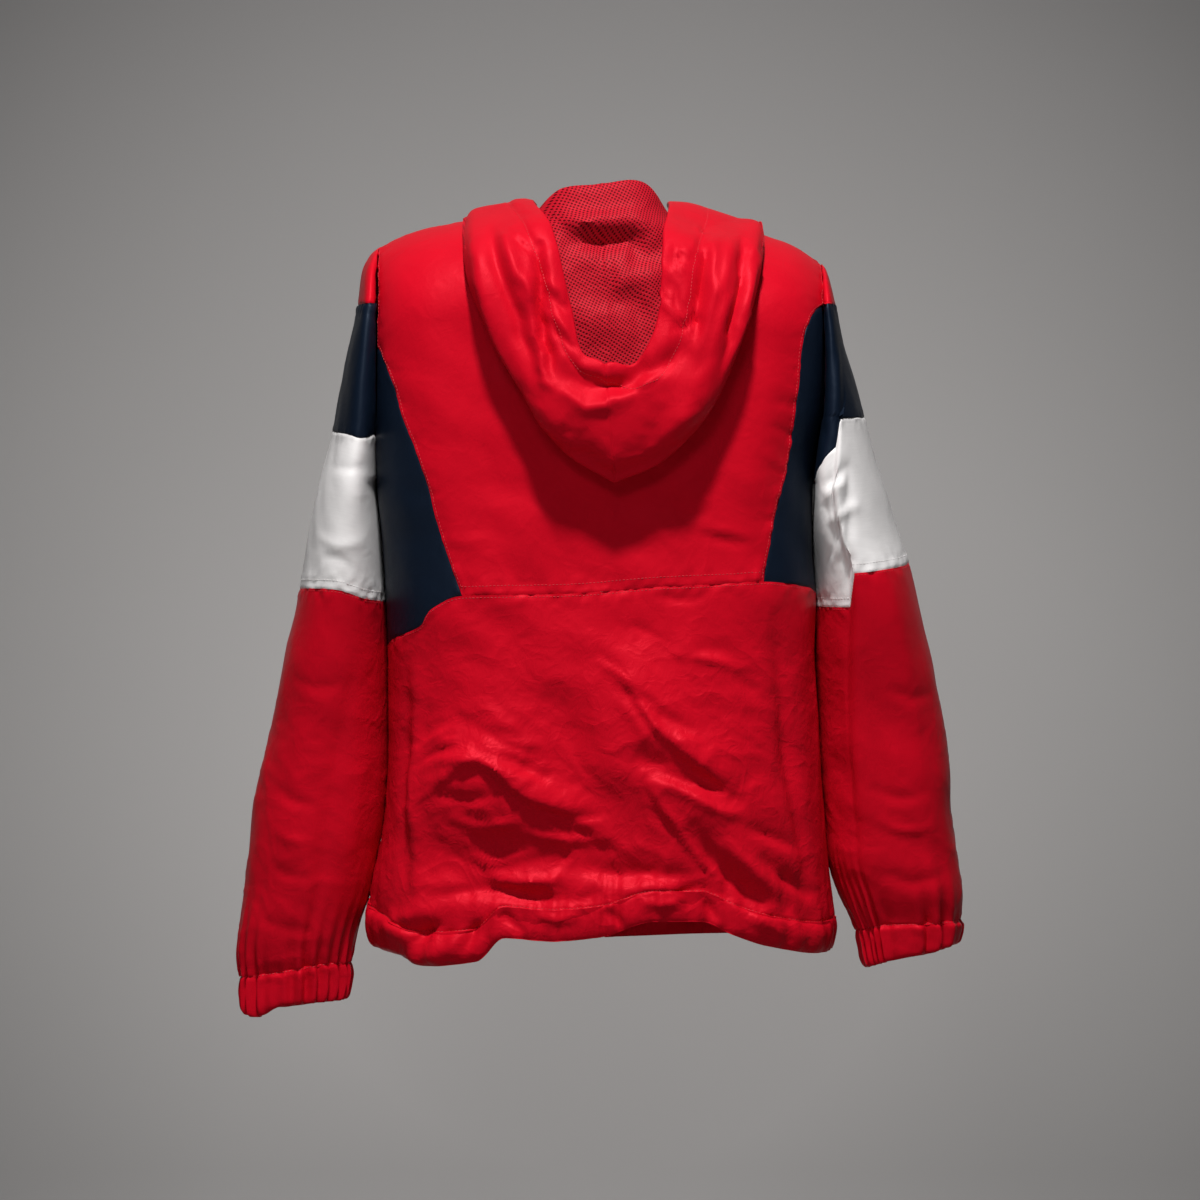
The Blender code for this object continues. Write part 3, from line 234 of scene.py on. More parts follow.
def ring(angle, z):
    """The body's surface at a direction from the middle, in degrees from +X, and a height."""
    angle = np.radians(np.asarray(angle, float))
    z = np.broadcast_to(np.asarray(z, float), angle.shape)
    along = np.abs(np.cos(angle))
    across = np.abs(np.sin(angle))
    sign = np.where(np.cos(angle) < 0, -1.0, 1.0)
    face_depth = depth_at(np.sin(angle), z)
    power = smooth(BODY, "power", z)
    width = body_width(sign, z)
    reach = width
    for _ in range(6):
        x = np.clip(reach * along, 0, width)
        drop = np.clip(smooth(RIDGE, "z", x * sign) - z, 0, SHOULDER_DROP)
        close = np.sqrt(np.clip(1 - (1 - drop / SHOULDER_DROP) ** 2, 1e-6, 1))
        reach = ((along / width) ** power + (across / (face_depth * close)) ** power) ** (-1 / power)
    return np.stack([reach * np.cos(angle), reach * np.sin(angle), z], -1)


def direction(point):
    """Direction of a point from the middle, in degrees from +X."""
    return np.degrees(np.arctan2(point[..., 1], point[..., 0]))


# Armholes: a level at the top, at the underarm and where the edge leaves its upright plane,
# and the distance of that plane from the middle.
ARMHOLE = {
    LEFT: {"top": -25, "bottom": -240, "turn": -160, "plane": 206},
    RIGHT: {"top": -40, "bottom": -240, "turn": -160, "plane": 203},
}
# Stations round the armhole from the ridge (0) to the underarm (180). The cap of the sleeve ends
# at the fourth and the upper sleeve at the seventh or eighth.
STATIONS = {
    LEFT: [0, 20, 40, 59.5, 81, 104, 127, 145, 163, 180],
    RIGHT: [0, 17, 34, 52, 75, 98, 121, 142, 163, 180],
}
CAP_END = 3
PANEL_CORNER = {LEFT: 4, RIGHT: 3}  # station where back, side panel and armhole meet


def armhole_level(side):
    """Middle height of an armhole and half its height."""
    hole_shade = ARMHOLE[side]
    middle = (hole_shade["top"] + hole_shade["bottom"]) / 2
    return middle, hole_shade["top"] - middle


def armhole(side, angle, face):
    """Points on the armhole's edge at station angles in degrees."""
    hole_shade = ARMHOLE[side]
    plane = hole_shade["plane"]
    middle, half = armhole_level(side)
    z = middle + half * np.cos(np.radians(np.asarray(angle, float)))
    upper = body_at(side * plane, cloth_down(side * plane, z), face)
    fall = np.clip((hole_shade["turn"] - z) / (hole_shade["turn"] - hole_shade["bottom"]), 0, 1)
    y = upper[..., 1] * np.sqrt(1 - fall ** 2)
    ratio = np.abs(y) / body_depth(face, z)
    below = body_width(side, z) * oblong(ratio, smooth(BODY, "power", z))
    x = side * np.where(fall > 0, np.minimum(below, plane * (1 - fall) + below * fall), plane)
    return np.stack([x, y, z], -1)


# Princess seams: distance from the middle by height. The front seams mirror the back ones.
PRINCESS = {
    LEFT: table("z x", [
        (-116, 206), (-130, 200), (-154, 190), (-179, 183), (-220, 167),
        (-250, 157), (-275, 151), (-304, 142), (-346, 127),
    ]),
    RIGHT: table("z x", [
        (-78, 203), (-84, 196), (-98, 188), (-113, 184), (-155, 180), (-181, 177),
        (-224, 171), (-266, 160), (-333, 147),
    ]),
}
PRINCESS_STEPS = {LEFT: 6, RIGHT: 7}
# The waist seam round the body: height by direction.
WAIST = table("direction z", [
    (-180, -394), (-167, -388), (-149, -374), (-146, -360), (-137.3, -346), (-103, -344),
    (-69, -338), (-47, -335), (-37, -333), (-21, -338), (0, -345), (90, -352), (180, -394),
])
# The hem: height of its lower edge by direction, and how tall the casing is there.
HEM = table("direction z tall", [
    (-180, -664, 40), (-160, -672, 34), (-147, -683, 31), (-134, -679, 30), (-125, -657, 29),
    (-110, -660, 29), (-90, -656, 29), (-70, -642, 28), (-55, -642, 28), (-45, -655, 28),
    (-36, -665, 28), (-20, -673, 29), (0, -670, 30), (40, -663, 29), (90, -667, 29),
    (140, -661, 29), (180, -664, 40),
])
CASING_OUT = 3.0


CASING = table("step down out", [
    (0, 0.0, 0.0), (1, 0.18, 0.75), (2, 0.55, 1.0), (3, 0.88, 0.7), (4, 1.0, -0.4),
    (5, 0.8, -1.5), (6, 0.4, -1.5), (7, 0.02, -0.5),
])
# The cap of each sleeve above the first colour seam: distance of the outer line by height.
CAP = {
    LEFT: table("z outer", [
        (-25, 206), (-30, 212), (-36, 216), (-44, 220), (-55, 222.5), (-68, 224), (-78, 225), (-90, 227),
    ]),
    RIGHT: table("z outer", [
        (-40, 203), (-44, 206), (-50, 208), (-60, 210.5), (-69, 212.5), (-78, 214.5), (-90, 218),
    ]),
}
# Level sections of each sleeve: outer and inner lines, half depth front to back, middle in y,
# and how far the front and back folds lean in towards the body.
SLEEVE = {
    LEFT: table("z outer inner deep middle lean", [
        (-78, 225, 199.7, 75, 0, 0), (-116, 233, 204, 84, 0, 2), (-155, 241, 206, 90, 0, 4),
        (-195, 249, 208, 94, 0, 6), (-240, 261, 211, 96, 0, 7), (-300, 272.5, 206, 91, 2, 4),
        (-350, 282, 202.5, 84, 4, 2), (-400, 293, 200, 76, 6, 0), (-450, 303, 200, 68, 8, 0),
        (-517, 318, 201, 61, 9, 0), (-565, 325, 206.5, 58, 10, 0), (-612, 331, 219, 54, 11, 0),
        (-649, 335, 230, 50, 12, 0), (-680, 336, 236, 41, 12, 0), (-697, 333, 238, 35, 12, 0),
        (-740, 331, 240, 34, 12, 0),
    ]),
    RIGHT: table("z outer inner deep middle lean", [
        (-78, 214.5, 197.3, 75, 0, 0), (-116, 224.5, 199, 84, 0, 2), (-155, 235.5, 198, 90, 0, 6),
        (-195, 246.5, 198, 94, 0, 12), (-240, 260, 198, 96, 0, 20), (-285, 274, 197, 93, 1, 18),
        (-330, 288, 198.5, 87, 3, 6), (-360, 295, 201, 82, 4, 1), (-400, 304, 201, 76, 6, 0),
        (-451, 314, 203, 67, 8, 0), (-520, 323, 207, 60, 9, 0), (-560, 327.5, 210.5, 57, 10, 0),
        (-598, 332, 214.5, 54, 11, 0), (-624, 334, 224, 50, 12, 0), (-645, 332, 234, 41, 12, 0),
        (-660, 329, 240, 36, 12, 0), (-700, 327, 246, 34, 12, 0),
    ]),
}
# Seams round each sleeve by position, from the underarm (-1) round the back fold to the outer
# line (0), then round the front fold to the underarm (1). The right sleeve's seams step down
# where the sleeve is pleated lengthwise.
SLEEVE_SEAMS = {
    LEFT: table("place cap upper band cuff end", [
        (-1, -78, -197.2, -352, -684, -719), (-0.7, -78, -202, -349, -686, -721),
        (-0.45, -78, -198, -340, -693, -724), (-0.25, -78, -196, -339, -697, -735),
        (0, -78, -194, -339, -698, -731), (0.4, -78, -195, -341, -695, -729),
        (0.7, -78, -197, -347, -688, -723), (1, -78, -197.2, -352, -684, -719),
    ]),
    RIGHT: table("place cap upper band cuff end", [
        (-1, -78.43, -235.63, -356, -655, -690), (-0.75, -78.43, -240, -356, -653, -688),
        (-0.47, -78.43, -210, -356, -651, -684), (-0.44, -78.43, -184, -326, -650, -683),
        (0, -78.43, -181, -315, -647, -668), (0.4, -78.43, -186, -322, -650, -680),
        (0.75, -78.43, -215, -345, -653, -687), (1, -78.43, -235.63, -356, -655, -690),
    ]),
}
# The pleat of the right sleeve: where it runs round the sleeve, and how far it stands up.
PLEAT = table("z place high", [
    (-700, 0.67, 0), (-620, 0.67, 0), (-500, 0.67, 5), (-360, 0.60, 7), (-330, 0.56, 7),
    (-215, 0.46, 5), (-150, 0.45, 0), (-40, 0.45, 0),
])
PLEAT_AT = -0.45
# How far the side of each hanging sleeve leans in towards the body.
NEARER = {
    LEFT: table("z in", [
        (-720, 0), (-660, 4), (-620, 7.2), (-580, 3.5), (-540, 2.6), (-460, 2.55), (-380, 2.7),
        (-300, 3.1), (-240, 2.4), (-200, 0), (0, 0),
    ]),
    RIGHT: table("z in", [
        (-690, 0), (-650, 1), (-620, 3), (-580, 3.4), (-540, 3.6), (-460, 3.3), (-400, 4.5),
        (-340, 2.3), (-300, 2.3), (-240, 0), (0, 0),
    ]),
}
SLEEVE_POWER = 2.2
CAP_TURN = 120  # the cap's level sections turn this far from the outer line to the armhole
CAP_LINE = -78
ARM_GAP = 0.15  # the sleeve stands this far outside the armhole's edge
SLEEVE_CLEAR = 2.0  # and this far from the body below the underarm


def armhole_edge(side, z, face):
    """The armhole's edge at a height, as distance from the middle and y."""
    middle, half = armhole_level(side)
    cosine = np.clip((z - middle) / half, -1, 1)
    point = armhole(side, np.degrees(np.arccos(cosine)), face)
    return np.abs(point[..., 0]), np.abs(point[..., 1])


def step_below(z):
    """0 above the underarm, 1 well below it."""
    return np.clip((-240 - z) / 40, 0, 1)


def body_side(side, y, z):
    """Distance of the body's side wall from the middle, at y and z below the shoulder."""
    ratio = np.clip(np.abs(y) / depth_at(y, z), 0, 0.999)
    return body_width(side, z) * oblong(ratio, smooth(BODY, "power", z))


def rounded(wave):
    """A sine or cosine bent to the sleeve's fuller section."""
    return np.sign(wave) * np.abs(wave) ** (2 / SLEEVE_POWER)


def sleeve(side, place, z):
    """The sleeve's surface at a place round it and a height."""
    place, z = np.broadcast_arrays(np.asarray(place, float), np.asarray(z, float))
    tab = SLEEVE[side]
    bottom = ARMHOLE[side]["bottom"]
    shown = place
    if side == RIGHT:
        at = -smooth(PLEAT, "place", z)
        before = -1 + (place + 1) / (PLEAT_AT + 1) * (at + 1)
        shown = np.where(place > 0, place, np.where(place < PLEAT_AT, before, at * place / PLEAT_AT))
    back_x, back_y = armhole_edge(side, z, BACK)
    front_x, front_y = armhole_edge(side, z, FRONT)
    edge_x = np.where(place < 0, back_x, front_x)
    edge_y = np.where(place < 0, back_y, front_y)
    above = z > CAP_LINE
    outer = np.where(above, smooth(CAP[side], "outer", z), smooth(tab, "outer", z))
    deep = np.where(above, edge_y / math.sin(math.radians(CAP_TURN)), smooth(tab, "deep", z))
    cap_half = (outer - edge_x) / (1 - math.cos(math.radians(CAP_TURN)))
    half = np.where(above, cap_half, (outer - smooth(tab, "inner", z)) / 2)
    fold = np.clip(edge_y / np.maximum(deep, 1e-6), 0, math.sin(math.radians(CAP_TURN)))
    full = np.where(z > bottom, math.pi - np.arcsin(fold), math.pi)
    turn = shown * full
    cosine = rounded(np.cos(turn))
    sine = rounded(np.sin(turn))
    lean = smooth(tab, "lean", np.minimum(z, CAP_LINE))
    middle = smooth(tab, "middle", z)
    x = outer - half + half * cosine - lean * sine ** 2
    y = middle + deep * sine
    end_sin = rounded(np.sin(full))
    end_x = outer - half + half * rounded(np.cos(full)) - lean * end_sin ** 2
    face = np.where(place < 0, -1, 1)
    end_y = middle + face * deep * end_sin
    share = np.clip((np.abs(turn) - math.pi / 2) / np.maximum(full - math.pi / 2, 1e-6), 0, 1.1)
    pull = np.where(z > bottom, share ** 1.5, 0)
    x = x + (edge_x - end_x) * pull
    y = y + (face * edge_y - end_y) * pull
    clear = np.interp(z, [bottom - 25, bottom], [SLEEVE_CLEAR, ARM_GAP])
    wall = body_side(side, y, np.minimum(z, -110)) + clear
    x = np.where(z < -110, np.maximum(x, wall), x + ARM_GAP)
    x = x - (smooth(NEARER[side], "in", z) + 0.3 * step_below(z)) * np.clip(-cosine, 0, 1) ** 2
    if side == RIGHT:
        lift = np.clip((place - PLEAT_AT + 0.02) / 0.03, 0, 1) * np.clip((-0.08 - place) / 0.35, 0, 1)
        y = y - smooth(PLEAT, "high", z) * lift
    return np.stack([side * x, y, z], -1)


# Sections of the hood from the middle of the back (0) to its front end beside the zip (9): the
# outer fold of the pouch, the rim of the face opening, and how far the hood stands out and up
# from the neck seam.
HOOD = {
    LEFT: table("row fold_x fold_y fold_z rim_x rim_y rim_z out up", [
        (0, 11, -150, -244, 3, -168, -137, 16, 57), (1, -38, -149, -212, -18, -164, -112, 15, 48),
        (2, -82, -144, -145, -28, -154, -76, 8, 16), (3, -123, -122, -56, -42, -134, -20, 5, 8),
        (3.5, -127, -88, -18, -50, -112, 11, 3, 6), (4, -127, -45, 3, -62, -62, 32, 3, 6),
        (5, -120, 22, 5, -62, 4, 34, 3, 7), (6, -101, 72, -6, -64, 50, 22, 3, 7),
        (7, -72, 108, -24, -50, 88, 0, 2, 7), (8, -43, 126, -42, -32, 110, -24, 2, 7),
        (9, -18, 130, -52, -12, 119, -38, 2, 6),
    ]),
    RIGHT: table("row fold_x fold_y fold_z rim_x rim_y rim_z out up", [
        (0, 11, -150, -244, 3, -168, -137, 16, 57), (1, 58, -149, -222, 26, -164, -126, 15, 54),
        (2, 102, -144, -172, 50, -158, -98, 8, 16), (3, 138, -128, -80, 56, -136, -32, 5, 8),
        (3.5, 147, -92, -36, 58, -112, 3, 3, 6), (4, 148, -50, -6, 63, -62, 29, 3, 6),
        (5, 124, 22, 5, 62, 4, 34, 3, 7), (6, 101, 72, -6, 64, 50, 22, 3, 7),
        (7, 72, 108, -24, 50, 88, 0, 2, 7), (8, 43, 126, -42, 32, 110, -24, 2, 7),
        (9, 18, 130, -52, 12, 119, -38, 2, 6),
    ]),
}
HOOD_KEYS = np.array([0, 1, 2.2, 3.5, 4, 4.5, 5.4, 6.4])  # neck, crest, two inner, fold, two outer, rim
NECK_AXIS_Y = 15
HOOD_CLEAR = 5.0
SHOULDER_REACH = 110
HOOD_PUFF = 12.0
HOOD_THICK = 16.0


def clear_of_body(points, gap):
    """Points moved out of the body, by the shorter way of back or up."""
    points = points.copy()
    for _ in range(2):
        x = points[..., 0]
        y = points[..., 1]
        z = points[..., 2] - gap
        ratio = np.clip(np.abs(x) / body_width(x, z), 0, 0.999)
        flat = (depth_at(y, z) + gap) * oblong(ratio, smooth(BODY, "power", z))
        ridge = smooth(RIDGE, "z", x)
        drop = np.clip(ridge - z, 0, SHOULDER_DROP)
        wall = flat * np.sqrt(1 - (1 - drop / SHOULDER_DROP) ** 2)
        reach = np.clip(np.abs(y) / flat, 0, 1)
        top = ridge - SHOULDER_DROP * (1 - np.sqrt(1 - reach ** 2)) + gap
        inside = (np.abs(y) < wall) & (z < ridge)
        use_up = inside & (top - points[..., 2] < wall - np.abs(y))
        points[..., 2] = np.where(use_up, top, points[..., 2])
        points[..., 1] = np.where(inside & ~use_up, np.where(y < 0, -wall, wall), y)
    return points


def neck_curve(side, row):
    """The neck seam at a hood row, on the body's neckline."""
    row = np.asarray(row, float)
    turn = np.radians(90 - np.clip(row / NECK_STEPS, 0, 1) * 90)
    back = body_at(side * NECK_HALF * np.cos(turn), NECK_BACK * np.sin(turn), BACK)
    turn = np.radians(np.clip((row - NECK_STEPS) / FRONT_STEPS, 0, 1) * 90)
    width = FRONT_EDGE + (NECK_HALF - FRONT_EDGE) * np.cos(turn)
    front = body_at(side * width, NECK_FRONT * np.sin(turn), FRONT)
    return np.where((row > NECK_STEPS)[..., None], front, back)


def hood(side, row, key):
    """The outer face of the hood's shell at a section row and a key across the section."""
    row, key = np.broadcast_arrays(np.asarray(row, float), np.asarray(key, float))
    tab = HOOD[side]
    neck = neck_curve(side, row)
    out = neck - np.array([0, NECK_AXIS_Y, 0])
    out[..., 2] = 0
    up = np.array([0.0, 0.0, 1.0])
    rise = smooth(tab, "up", row)[..., None]
    crest = neck + unit(out) * smooth(tab, "out", row)[..., None] + up * rise
    fold = np.stack([smooth(tab, "fold_" + axis, row) for axis in "xyz"], -1)
    rim = np.stack([smooth(tab, "rim_" + axis, row) for axis in "xyz"], -1)
    thick = np.clip(rise / 36, 0.7, 1)
    inner_one = crest + (fold - crest) * 0.42
    inner_two = crest + (fold - crest) * 0.92
    for part in (inner_one, inner_two, fold):
        part[...] = clear_of_body(part, HOOD_CLEAR)
    lean = np.clip(fold[..., 1] / SHOULDER_REACH, -1, 1)
    away = unit(np.stack([0 * lean, lean * np.abs(lean), np.sqrt(1 - lean ** 4) + 0.2], -1))
    outer_two = fold + (rim - fold) * 0.1 + away * HOOD_THICK * thick
    outer_one = fold + (rim - fold) * 0.55 + away * HOOD_PUFF * (0.5 + 0.5 * thick)
    knots = np.stack([neck + up * 0.6, crest, inner_one, inner_two, fold, outer_two, outer_one, rim])
    slopes = np.gradient(knots, HOOD_KEYS, axis=0)
    i = np.clip(np.searchsorted(HOOD_KEYS, key, side="right") - 1, 0, len(HOOD_KEYS) - 2)
    span = (HOOD_KEYS[i + 1] - HOOD_KEYS[i])[..., None]

    def pick(values, index):
        return np.take_along_axis(values, index[None, ..., None], axis=0)[0]
    t = (key - HOOD_KEYS[i])[..., None] / span
    points = hermite(pick(knots, i), pick(knots, i + 1), pick(slopes, i), pick(slopes, i + 1), span, t)
    return np.where((key > 1.1)[..., None], clear_of_body(points, HOOD_CLEAR), points)


# --- fine sampling of the form ---

def coons(top, bottom, left, right, u, v):
    """A grid filled in between four edges that meet at the corners, at shares u across and v down."""
    u = u[None, :, None]
    v = v[:, None, None]
    ruled = (1 - v) * top[None] + v * bottom[None] + (1 - u) * left[:, None] + u * right[:, None]
    upper = (1 - u) * (1 - v) * top[0] + u * (1 - v) * top[-1]
    lower = (1 - u) * v * bottom[0] + u * v * bottom[-1]
    return ruled - upper - lower


def cells_along(steps, length):
    """Index values from 0 to the number of steps, in even cells, with closer ones at the seams."""
    per_step = max(1, round(length / steps / millimetres("cell")))
    even = np.linspace(0, steps, steps * per_step + 1)
    near = even[1] * np.array([0.2, 0.5])
    return np.sort(np.concatenate([even, near, steps - near]))


def differences(surface, a, b, step_a, step_b):
    """Normals of a surface given by two coordinates."""
    da = surface(a + step_a, b) - surface(a - step_a, b)
    db = surface(a, b + step_b) - surface(a, b - step_b)
    return unit(np.cross(da, db))


def outward(grid, normal, centre):
    """The normals turned so that they face away from a centre line."""
    away = ((grid - centre) * normal).sum(-1).mean()
    return normal if away > 0 else -normal


def around(angle, middle):
    """The angle moved by whole turns to within half a turn of a middle direction."""
    return (np.asarray(angle) - middle + 180) % 360 - 180 + middle


PRINCESS_BEND = 1.15
SIDE_STEPS = {side: len(STATIONS[side]) - 1 - PANEL_CORNER[side] for side in (LEFT, RIGHT)}
SHOULDER_STEPS = 3
NECK_STEPS = 4  # from the middle of the back to the neck point
FRONT_STEPS = 5  # from the neck point to the front edge


def armhole_by(side, index, face):
    """The armhole's edge at a fractional station."""
    return armhole(side, np.interp(index, np.arange(len(STATIONS[side])), STATIONS[side]), face)


def princess(side, face, share):
    """Points down a princess seam, at shares of the way from the armhole's corner to the waist."""
    corner = armhole(side, STATIONS[side][PANEL_CORNER[side]], face)
    end_z = PRINCESS[side]["z"][0]
    end_x = side * smooth(PRINCESS[side], "x", end_z)
    end = body_at(end_x, cloth_down(end_x, end_z), face)
    shift = soft(WAIST, "z", direction(end)) - end_z
    z = corner[2] + (end_z - corner[2]) * share ** PRINCESS_BEND + shift * share
    x = side * smooth(PRINCESS[side], "x", z - shift * share)
    return body_at(x, cloth_down(x, z), face)


def in_cloth(points):
    """x and cloth length of points on the body."""
    return np.stack([points[..., 0], cloth_down(points[..., 0], points[..., 2])], -1)


def edge_rows(side, face, index):
    """The edge of the back or front at fractional rows: the armhole, then the princess seam."""
    corner = PANEL_CORNER[side]
    upper = armhole_by(side, np.minimum(index, corner), face)
    lower = princess(side, face, np.clip((index - corner) / PRINCESS_STEPS[side], 0, 1))
    rows = in_cloth(np.where((index <= corner)[:, None], upper, lower))
    rows[0, 1] = 0
    return rows


def waist_end(side, face):
    return float(direction(princess(side, face, np.array([1.0]))[0]))


def waist_points(angles):
    return ring(angles, soft(WAIST, "z", angles))


def neck_points(face, share):
    """Points along the neckline in x and cloth length, from the left neck point."""
    turn = np.radians(share * (180 if face < 0 else 90))
    if face < 0:
        return -NECK_HALF * np.cos(turn), NECK_BACK * np.sin(turn)
    return -FRONT_EDGE - (NECK_HALF - FRONT_EDGE) * np.cos(turn), NECK_FRONT * np.sin(turn)


def hem_top(angle):
    angle = around(angle, 0)
    return soft(HEM, "z", angle) + soft(HEM, "tall", angle)


BODY_CENTRE = np.array([0.0, 0.0, -250.0])


def facing_out(surface, a, b, step_a, step_b):
    """A surface of the body and its outward normals, from its two coordinates."""
    grid = surface(a, b)
    return grid, outward(grid, differences(surface, a, b, step_a, step_b), BODY_CENTRE)


def body_grid(flat, face):
    """A sheet's points and normals from x and cloth length."""
    return facing_out(lambda x, s: body_at(x, s, face), flat[..., 0], flat[..., 1], 0.5, 0.5)


def ring_grid(turned):
    """A sheet's points and normals from directions and heights."""
    return facing_out(ring, turned[..., 0], turned[..., 1], 0.2, 0.5)


# --- folds and creases of the cloth ---

CREASE_STEPS = 14
REACH = 3.2  # a crease is felt this many widths away
TAPER = 0.7


def curve_through(points, count):
    """A smooth open curve through a few points."""
    points = np.asarray(points, float)
    if len(points) == 2:
        return points[0] + (points[1] - points[0]) * np.linspace(0, 1, count)[:, None]
    padded = np.concatenate([[2 * points[0] - points[1]], points, [2 * points[-1] - points[-2]]])
    at = np.linspace(0, len(points) - 1, count)
    i = np.minimum(at.astype(int), len(points) - 2)
    t = (at - i)[:, None]
    a, b, c, d = padded[i], padded[i + 1], padded[i + 2], padded[i + 3]
    rise = (c - a) * t + (2 * a - 5 * b + 4 * c - d) * t ** 2 + (3 * b - a - 3 * c + d) * t ** 3
    return b + 0.5 * rise


def crease_height(points, normals, lines):
    """Height of a list of creases over points: each is (width, height, skew, line on the form).
    A skew over 1 makes the side on the left of the line's run the gentler one."""
    height = np.zeros(points.shape[:-1])
    for width, tall, skew, line in lines:
        reach = width * max(1, skew) * REACH
        near = ((points > line.min(0) - reach) & (points < line.max(0) + reach)).all(-1)
        if not near.any():
            continue
        here = points[near]
        best = np.full(len(here), 1e9)
        signed = np.zeros(len(here))
        along = np.zeros(len(here))
        for k in range(len(line) - 1):
            step = line[k + 1] - line[k]
            share = np.clip((here - line[k]) @ step / max(step @ step, 1e-9), 0, 1)
            away = here - line[k] - share[:, None] * step
            far = np.linalg.norm(away, axis=1)
            closer = far < best
            left = np.cross(normals[near], step)
            side = np.where((away * left).sum(1) > 0, 1, -1)
            signed = np.where(closer, far * side, signed)
            along = np.where(closer, (k + share) / (len(line) - 1), along)
            best = np.minimum(best, far)
        shape = np.abs(signed) / (width * np.where(signed > 0, skew, 1))
        ends = np.sin(np.pi * np.clip(along, 0.004, 0.996)) ** TAPER
        height[near] += tall * ends * np.exp(-shape ** 1.8)
    return height


def waves(points, seed, count, low, high, stretch=(1, 1, 1)):
    """A smooth random field of about unit height, with waves of the given lengths."""
    rng = np.random.default_rng(seed)
    value = np.zeros(points.shape[:-1])
    for _ in range(count):
        way = rng.normal(size=3)
        way = way / np.linalg.norm(way) / np.array(stretch)
        length = rng.uniform(low, high)
        value += np.sin(points @ way * (2 * math.pi / length) + rng.uniform(0, 2 * math.pi))
    return value * math.sqrt(2 / count)


def turned(points, degrees):
    """Points turned about the front to back axis."""
    c = math.cos(math.radians(degrees))
    s = math.sin(math.radians(degrees))
    x = points[..., 0] * c - points[..., 2] * s
    z = points[..., 0] * s + points[..., 2] * c
    return np.stack([x, points[..., 1], z], -1)


def sharp_creases(points, seed, low, high, degrees=0.0, long=1.0):
    """A net of narrow ridges, drawn out along a direction."""
    bent = points + np.stack([waves(points, seed + k, 8, 50, 110) for k in (1, 2, 3)], -1) * 7
    field = waves(turned(bent, degrees), seed, 14, low, high, (long, long, 1))
    return np.exp(-(field / 0.35) ** 2) - 0.45


def blob(points, x, z, half_x, half_z):
    """1 at a place seen from behind or in front, falling to 0 around it."""
    return np.exp(-((points[..., 0] - x) / half_x) ** 2 - ((points[..., 2] - z) / half_z) ** 2)


def step(value, low, high):
    """0 below low, 1 above high, smooth between."""
    t = np.clip((value - low) / (high - low), 0, 1)
    return t * t * (3 - 2 * t)


def edge_lengths(grid):
    """Length of cloth from every point of a grid to its four edges."""
    down = np.linalg.norm(np.diff(grid, axis=0), axis=-1)
    across = np.linalg.norm(np.diff(grid, axis=1), axis=-1)
    top = np.concatenate([np.zeros((1, grid.shape[1])), np.cumsum(down, axis=0)])
    left = np.concatenate([np.zeros((grid.shape[0], 1)), np.cumsum(across, axis=1)], axis=1)
    return {"top": top, "bottom": top[-1:] - top, "left": left, "right": left[:, -1:] - left}


SEAM_DIP = 0.55
SEAM_WIDE = 1.1
STITCH_DIP = 0.3
STITCH_WIDE = 1.2
PUCKER = 0.24
PUCKER_REACH = 9.0


def sewn(grid, sides, stitched=(), seed=1):
    """Dips along the sewn edges and their topstitching, with the small puckers beside them.
    stitched gives pairs of an edge and how far inside it the topstitching runs."""
    far = edge_lengths(grid)
    height = np.zeros(grid.shape[:-1])
    ripple = waves(grid, seed, 16, 6, 17)
    for side in sides.split():
        height -= SEAM_DIP * np.exp(-(far[side] / SEAM_WIDE) ** 2)
        height += PUCKER * ripple * np.exp(-(far[side] / PUCKER_REACH) ** 2)
    for side, inside in stitched:
        line = far[side] - inside
        height -= STITCH_DIP * np.exp(-(line / STITCH_WIDE) ** 2)
        height += PUCKER * ripple * np.exp(-(line / PUCKER_REACH) ** 2)
    return height


# --- making the sheets ---

SMOOTH_ANGLE = math.radians(60)


def new_object(name, points, faces, mat, uv=None):
    """A smooth-shaded object from millimetre points, with a cloth map in metres if it has one."""
    mesh = bpy.data.meshes.new(name)
    faces = np.asarray(faces, np.int32)
    size = faces.shape[1]
    mesh.vertices.add(len(points))
    mesh.vertices.foreach_set("co", (np.asarray(points, float) * MM).astype(np.float32).ravel())
    mesh.loops.add(faces.size)
    mesh.loops.foreach_set("vertex_index", faces.ravel())
    mesh.polygons.add(len(faces))
    mesh.polygons.foreach_set("loop_start", np.arange(0, faces.size, size, dtype=np.int32))
    mesh.update(calc_edges=True)
    mesh.validate()
    if uv is not None:
        layer = mesh.uv_layers.new(name="cloth")
        layer.data.foreach_set("uv", (uv.reshape(-1, 2) * MM).astype(np.float32).ravel())
    mesh.shade_smooth()
    mesh.set_sharp_from_angle(angle=SMOOTH_ANGLE)
    mesh.materials.append(mat)
    obj = bpy.data.objects.new(name, mesh)
    bpy.context.scene.collection.objects.link(obj)
    return obj


def quads_of(number):
    return np.stack([number[:-1, :-1], number[:-1, 1:], number[1:, 1:], number[1:, :-1]], -1).reshape(-1, 4)


def shell_faces(number, closed, behind):
    """Quads over a grid of numbers: the outer face, the inner one behind it and the rim between."""
    outer = quads_of(number)
    rims = [number[0], number[-1, ::-1]]
    if not closed:
        rims += [number[:, -1], number[::-1, 0]]
    start = np.concatenate([rim[:-1] for rim in rims])
    end = np.concatenate([rim[1:] for rim in rims])
    rim = np.stack([end, start, start + behind, end + behind], -1)
    return np.concatenate([outer, outer[:, ::-1] + behind, rim])


